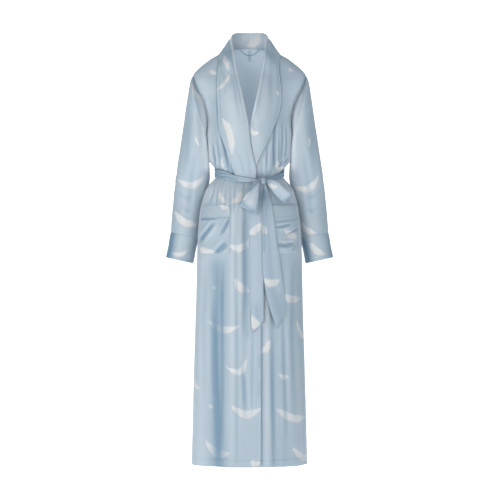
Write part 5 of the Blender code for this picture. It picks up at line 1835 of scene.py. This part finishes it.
def feather_masks(graph):
    """How much of a feather's vane and shaft shows at a point of the cloth, and its tint."""
    source = graph.attribute("feather").outputs["Vector"]
    along, aside, weight = graph.add("ShaderNodeSeparateXYZ", {0: source}).outputs
    cloth = graph.cloth()
    fuzz = graph.noise(cloth, 210.0, 4.0, 0.65)
    broad = graph.noise(cloth, 60.0)
    side = graph.math("ABSOLUTE", aside)
    swell = graph.ramp(along, -0.02, 0.28, 0.30, 1.0)
    taper = graph.ramp(along, 0.66, 1.04, 1.0, 0.25)
    vane = graph.math("MULTIPLY", swell, taper)
    ragged = graph.math("MULTIPLY_ADD", fuzz, 1.0, -0.50)
    uneven = graph.math("MULTIPLY_ADD", broad, 0.9, -0.45)
    reach = graph.math("ADD", vane, graph.math("ADD", ragged, uneven))
    inside = graph.math("SUBTRACT", reach, side)
    mask = graph.ramp(inside, -0.22, 0.42)
    # Barbs sweep from the shaft towards the tip
    sweep = graph.math("MULTIPLY_ADD", side, -0.16, along)
    barbs = graph.math("SINE", graph.math("MULTIPLY_ADD", sweep, 118.0, uneven))
    barbs = graph.math("MULTIPLY_ADD", barbs, 0.10, 0.88)
    ragged_along = graph.math("MULTIPLY_ADD", fuzz, 0.16, graph.math("ADD", along, -0.08))
    quill_end = graph.ramp(ragged_along, -0.02, 0.06)
    tip_end = graph.ramp(ragged_along, 0.92, 1.03, 1.0, 0.0)
    here = graph.math("MULTIPLY", quill_end, tip_end)
    here = graph.math("MULTIPLY", here, graph.ramp(weight, 0.05, 0.80))
    mask = graph.math("MULTIPLY", mask, graph.math("MULTIPLY", barbs, here), clamp=True)
    shaft = graph.ramp(side, 0.04, 0.14, 1.0, 0.0)
    shaft = graph.math("MULTIPLY", shaft, mask, clamp=True)
    tint = graph.ramp(graph.math("ADD", aside, uneven), -0.2, 1.3)
    return mask, shaft, tint


def stitching(graph):
    """Stitches along the lines of sewing, as a mask, and the pinch round them."""
    source = graph.attribute("stitch").outputs["Vector"]
    distance, along, _ = graph.add("ShaderNodeSeparateXYZ", {0: source}).outputs
    line = graph.ramp(distance, THREAD_HALF, THREAD_EDGE, 1.0, 0.0)
    pinch = graph.ramp(distance, THREAD_HALF, PINCH_EDGE, 1.0, 0.0)
    phase = graph.math("FRACT", graph.math("DIVIDE", along, STITCH_PITCH))
    dash = graph.ramp(phase, *STITCH_DASH, 1.0, 0.0)
    return graph.math("MULTIPLY", line, dash), pinch


def satin_material(name, colour, print_share, has_stitch=True, coat=SATIN_COAT, painted_glow=0.0):
    """Satin with a soft weave, sheen, printed feathers and stitching, painted shade and painted light
    from the stored shading, and an optional even painted glow.
    """
    graph = Graph(name)
    cloth = graph.cloth()
    place = graph.add("ShaderNodeTexCoord", {}).outputs["Object"]
    cloudy = graph.noise(place, 9.0)
    base = graph.mix(cloudy, times(colour, 0.90), times(colour, 1.06))
    # Painted shade and painted light, stored on the points, turn the ground colour towards a dark and a
    # light blue
    tone = graph.attribute("tone").outputs["Fac"]
    shade = graph.math("MULTIPLY", tone, 1.0, clamp=True)
    glow = graph.math("MULTIPLY", tone, -1.0, clamp=True)
    # Painted light where the stored shading is below zero
    base = graph.mix(glow, base, PAINTED_LIGHT_BLUE)
    mask, shaft, tint = feather_masks(graph)
    plume = graph.mix(tint, FEATHER_WHITE, FEATHER_BEIGE)
    base = graph.mix(graph.math("MULTIPLY", mask, print_share), base, plume)
    shaft_share = graph.math("MULTIPLY", shaft, 0.25 * print_share)
    base = graph.mix(shaft_share, base, times(FEATHER_BEIGE, 0.8))
    # Painted shade, over the print as well
    base = graph.mix(shade, base, PAINTED_SHADE_BLUE)
    stretched = graph.add("ShaderNodeMapping", {"Vector": cloth, "Scale": RIPPLE_STRETCH}).outputs[0]
    ripple = graph.noise(stretched, 70.0, 3.0, 0.55, 0.3)
    thread = graph.add("ShaderNodeTexWave", {
        "Vector": cloth,
        "Scale": 900.0,
        "Distortion": 0.6,
        "Detail": 1.0,
    }, wave_type="BANDS", bands_direction="X").outputs["Fac"]
    normal = graph.bump(ripple, 0.9 * MM, 0.35)
    normal = graph.bump(thread, 0.04 * MM, 0.25, normal)
    if has_stitch:
        stitch, pinch = stitching(graph)
        base = graph.mix(stitch, base, times(colour, 0.62))
        # The pinch beside the stitches is darkened: painted shade in its groove
        base = graph.mix(graph.math("MULTIPLY", pinch, 0.16), base, times(colour, 0.55))
        normal = graph.bump(pinch, 0.5 * MM, 0.6, normal, invert=True)
    tangent = graph.add("ShaderNodeTangent", {}, direction_type="UV_MAP", uv_map="cloth")
    graph.put(graph.shader, SATIN_LOOK)
    graph.put(graph.shader, {
        "Base Color": base,
        "Roughness": graph.math("MULTIPLY_ADD", cloudy, 0.10, SATIN_ROUGHNESS - 0.05),
        "Normal": normal,
        "Tangent": tangent.outputs[0],
        "Coat Weight": coat,
        "Coat Normal": normal,
        # An even painted glow, given here only to the inside
        "Emission Color": colour,
        "Emission Strength": painted_glow,
    })
    return graph.material


def trim_material(name, colour, painted_glow):
    """Plain ribbed tape or cord, with an even painted glow that lifts its shade."""
    graph = Graph(name)
    place = graph.add("ShaderNodeTexCoord", {}).outputs["Object"]
    rib = graph.add("ShaderNodeTexWave", {
        "Vector": place,
        "Scale": 500.0,
        "Distortion": 1.0,
    }).outputs["Fac"]
    graph.put(graph.shader, {
        "Base Color": graph.mix(rib, times(colour, 0.85), colour),
        "Roughness": 0.55,
        "Normal": graph.bump(rib, 0.2 * MM, 0.5),
        "Emission Color": colour,
        "Emission Strength": painted_glow,
    })
    return graph.material


def stage_material(name, glow):
    """Even white with a glow, as a lit studio surface has."""
    graph = Graph(name)
    graph.put(graph.shader, {
        "Base Color": STAGE_WHITE,
        "Roughness": STAGE_ROUGHNESS,
        "Emission Color": (1.0, 1.0, 1.0),
        "Emission Strength": glow,
    })
    return graph.material


def add_camera():
    """The camera, level with the middle of the robe."""
    data = bpy.data.cameras.new("camera")
    data.sensor_width = SENSOR_WIDTH
    data.lens = SENSOR_WIDTH * EYE_DISTANCE / (PICTURE * PIXEL)
    data.clip_end = CLIP_END
    camera = bpy.data.objects.new("camera", data)
    shift = (PICTURE / 2 - CENTRE_COLUMN) * PIXEL
    camera.location = (shift, -EYE_DISTANCE, EYE_LEVEL)
    camera.rotation_euler = (math.radians(90), 0.0, 0.0)
    bpy.context.scene.collection.objects.link(camera)
    bpy.context.scene.camera = camera


def add_light(row):
    """A soft area light that points at a place."""
    data = bpy.data.lights.new(row.name, "AREA")
    data.shape = "RECTANGLE"
    data.size, data.size_y = row.size
    data.energy = row.power
    data.color = KEY_COLOUR
    light = bpy.data.objects.new(row.name, data)
    light.location = row.place
    step = np.array(row.aim, dtype=float) - np.array(row.place, dtype=float)
    across = math.atan2(step[0], -step[1])
    down = math.atan2(-step[2], math.hypot(step[0], step[1]))
    light.rotation_euler = (math.radians(90) - down, 0.0, across + math.pi)
    bpy.context.scene.collection.objects.link(light)


def add_lights():
    """Soft studio lights and an even pale surround."""
    world = bpy.data.worlds.new("studio")
    world.use_nodes = True
    background = world.node_tree.nodes["Background"]
    background.inputs["Color"].default_value = (*WORLD_BLUE, 1.0)
    background.inputs["Strength"].default_value = WORLD_STRENGTH
    bpy.context.scene.world = world
    bpy.context.scene.view_settings.view_transform = "Standard"
    for row in LIGHTS:
        add_light(row)


def stage_sheet(name, corners, faces, glow):
    """One even surface of the studio."""
    mesh = bpy.data.meshes.new(name)
    mesh.from_pydata(corners, [], faces)
    mesh.materials.append(stage_material(name + "_white", glow))
    sheet = bpy.data.objects.new(name, mesh)
    bpy.context.scene.collection.objects.link(sheet)
    return sheet


def add_stage():
    """A pale floor, a glowing wall that is only a light, and a white surround that is only seen."""
    low = HEM_LEVEL - FLOOR_DROP
    far = WALL_DISTANCE
    floor = [
        (-FLOOR_HALF, FLOOR_NEAR, low),
        (FLOOR_HALF, FLOOR_NEAR, low),
        (FLOOR_HALF, far, low),
        (-FLOOR_HALF, far, low),
    ]
    wall = [
        (-WALL_HALF, far, low),
        (WALL_HALF, far, low),
        (WALL_HALF, far, WALL_TOP),
        (-WALL_HALF, far, WALL_TOP),
    ]
    turns = [2 * math.pi * number / SURROUND_SIDES for number in range(SURROUND_SIDES)]
    rim = [(SURROUND_RADIUS * math.cos(turn), SURROUND_RADIUS * math.sin(turn)) for turn in turns]
    bowl = [(x, y, low - SURROUND_DROP) for x, y in rim] + [(x, y, SURROUND_TOP) for x, y in rim]
    around = [tuple(range(SURROUND_SIDES))]
    for number in range(SURROUND_SIDES):
        after = (number + 1) % SURROUND_SIDES
        around.append((number, after, SURROUND_SIDES + after, SURROUND_SIDES + number))
    stage_sheet("floor", floor, [(0, 1, 2, 3)], FLOOR_GLOW)
    light_wall = stage_sheet("light_wall", wall, [(0, 1, 2, 3)], FULL_GLOW)
    light_wall.visible_camera = False
    surround = stage_sheet("surround", bowl, around, FULL_GLOW)
    surround.visible_diffuse = False
    surround.visible_glossy = False
    surround.visible_transmission = False
    surround.visible_shadow = False


def declare(piece):
    """Work out a piece's width and length laid flat and its area; nothing uses them."""
    width = float(piece.girth.max())
    length = float(piece.v.max())
    outer = piece.outer
    if piece.closed:
        outer = np.concatenate((outer, outer[:, :1]), axis=1)
    diagonals = np.cross(outer[1:, 1:] - outer[:-1, :-1], outer[:-1, 1:] - outer[1:, :-1])
    area = np.linalg.norm(diagonals, axis=-1).sum() / 2
    area = float(min(area, width * length))


def make_pieces():
    """Every piece of the robe's cloth."""
    fronts = make_fronts()
    back = make_back()
    joined_edges(fronts, back)
    pieces = [back, fronts["right"], fronts["left"]]
    for number, side in enumerate(SIGN):
        pieces.append(make_sleeve(fronts, back, side, SLEEVE_SEED + number))
        pieces.append(make_cuff(side, CUFF_SEED + number))
        for part in POCKET_PARTS:
            pieces.append(make_pocket(fronts[side], side, part, part.seed + number))
        rows = LAPEL_OVER if side == "right" else LAPEL_UNDER
        pieces.append(make_collar(fronts, side, rows, COLLAR_SEED + number))
    knot_low, knot_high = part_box("belt_knot")
    knot_y = float((knot_low[1] + knot_high[1]) / 2)
    return pieces + [
        make_belt(),
        make_loop("bow_loop_right", LOOP_RIGHT, BOW_RIGHT_TONES, LOOP_SEED),
        make_loop("bow_loop_left", LOOP_LEFT, BOW_LEFT_TONES, LOOP_SEED + 1),
        make_tail("belt_tail_right", TAIL_RIGHT, knot_y, TAIL_SEED),
        make_tail("belt_tail_left", TAIL_LEFT, knot_y, TAIL_SEED + 1),
        make_knot(),
    ]


def main():
    """The studio, the cloth in place of its solids, and the trims' looks."""
    add_camera()
    add_stage()
    add_lights()
    satin = satin_material("satin", CLOTH_BLUE, PRINT_SHARE)
    # The inside glows evenly: painted light that lifts its shade
    satin_inside = satin_material(
        "satin_inside", INSIDE_BLUE, INSIDE_PRINT_SHARE,
        has_stitch=False, coat=0.0, painted_glow=INSIDE_GLOW,
    )
    # A darker copy of the satin for the belt, bow and tails, as painted shade
    belt_satin = satin_material("belt_satin", SHADED_BELT_BLUE, PRINT_SHARE)
    # The trims glow evenly too: painted light
    trims = {
        "hanger_loop": trim_material("trim", TRIM_BLUE, TRIM_GLOW),
        "neck_tab": trim_material("tape", TAPE_BLUE, TAPE_GLOW),
    }
    pieces = make_pieces()
    things = []
    for number, piece in enumerate(pieces):
        print_feathers(piece, PRINT_SEED + number, piece.name == "back")
        is_belt = piece.name.startswith(("belt", "bow"))
        is_double = is_belt or piece.name.startswith("collar")
        outside = belt_satin if is_belt else satin
        thing = build_piece(piece, outside, outside if is_double else satin_inside)
        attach(thing, "root")
        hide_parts(piece.name)
        things.append(thing)
    for thing, piece in zip(things, pieces):
        side = "right" if piece.name.endswith("right") else "left"
        kind = piece.name.removesuffix("_" + side)
        if kind in SHEETS:
            declare(piece)
    for node, material in trims.items():
        thing = bpy.data.objects[node]
        thing.data.materials.clear()
        thing.data.materials.append(material)


main()
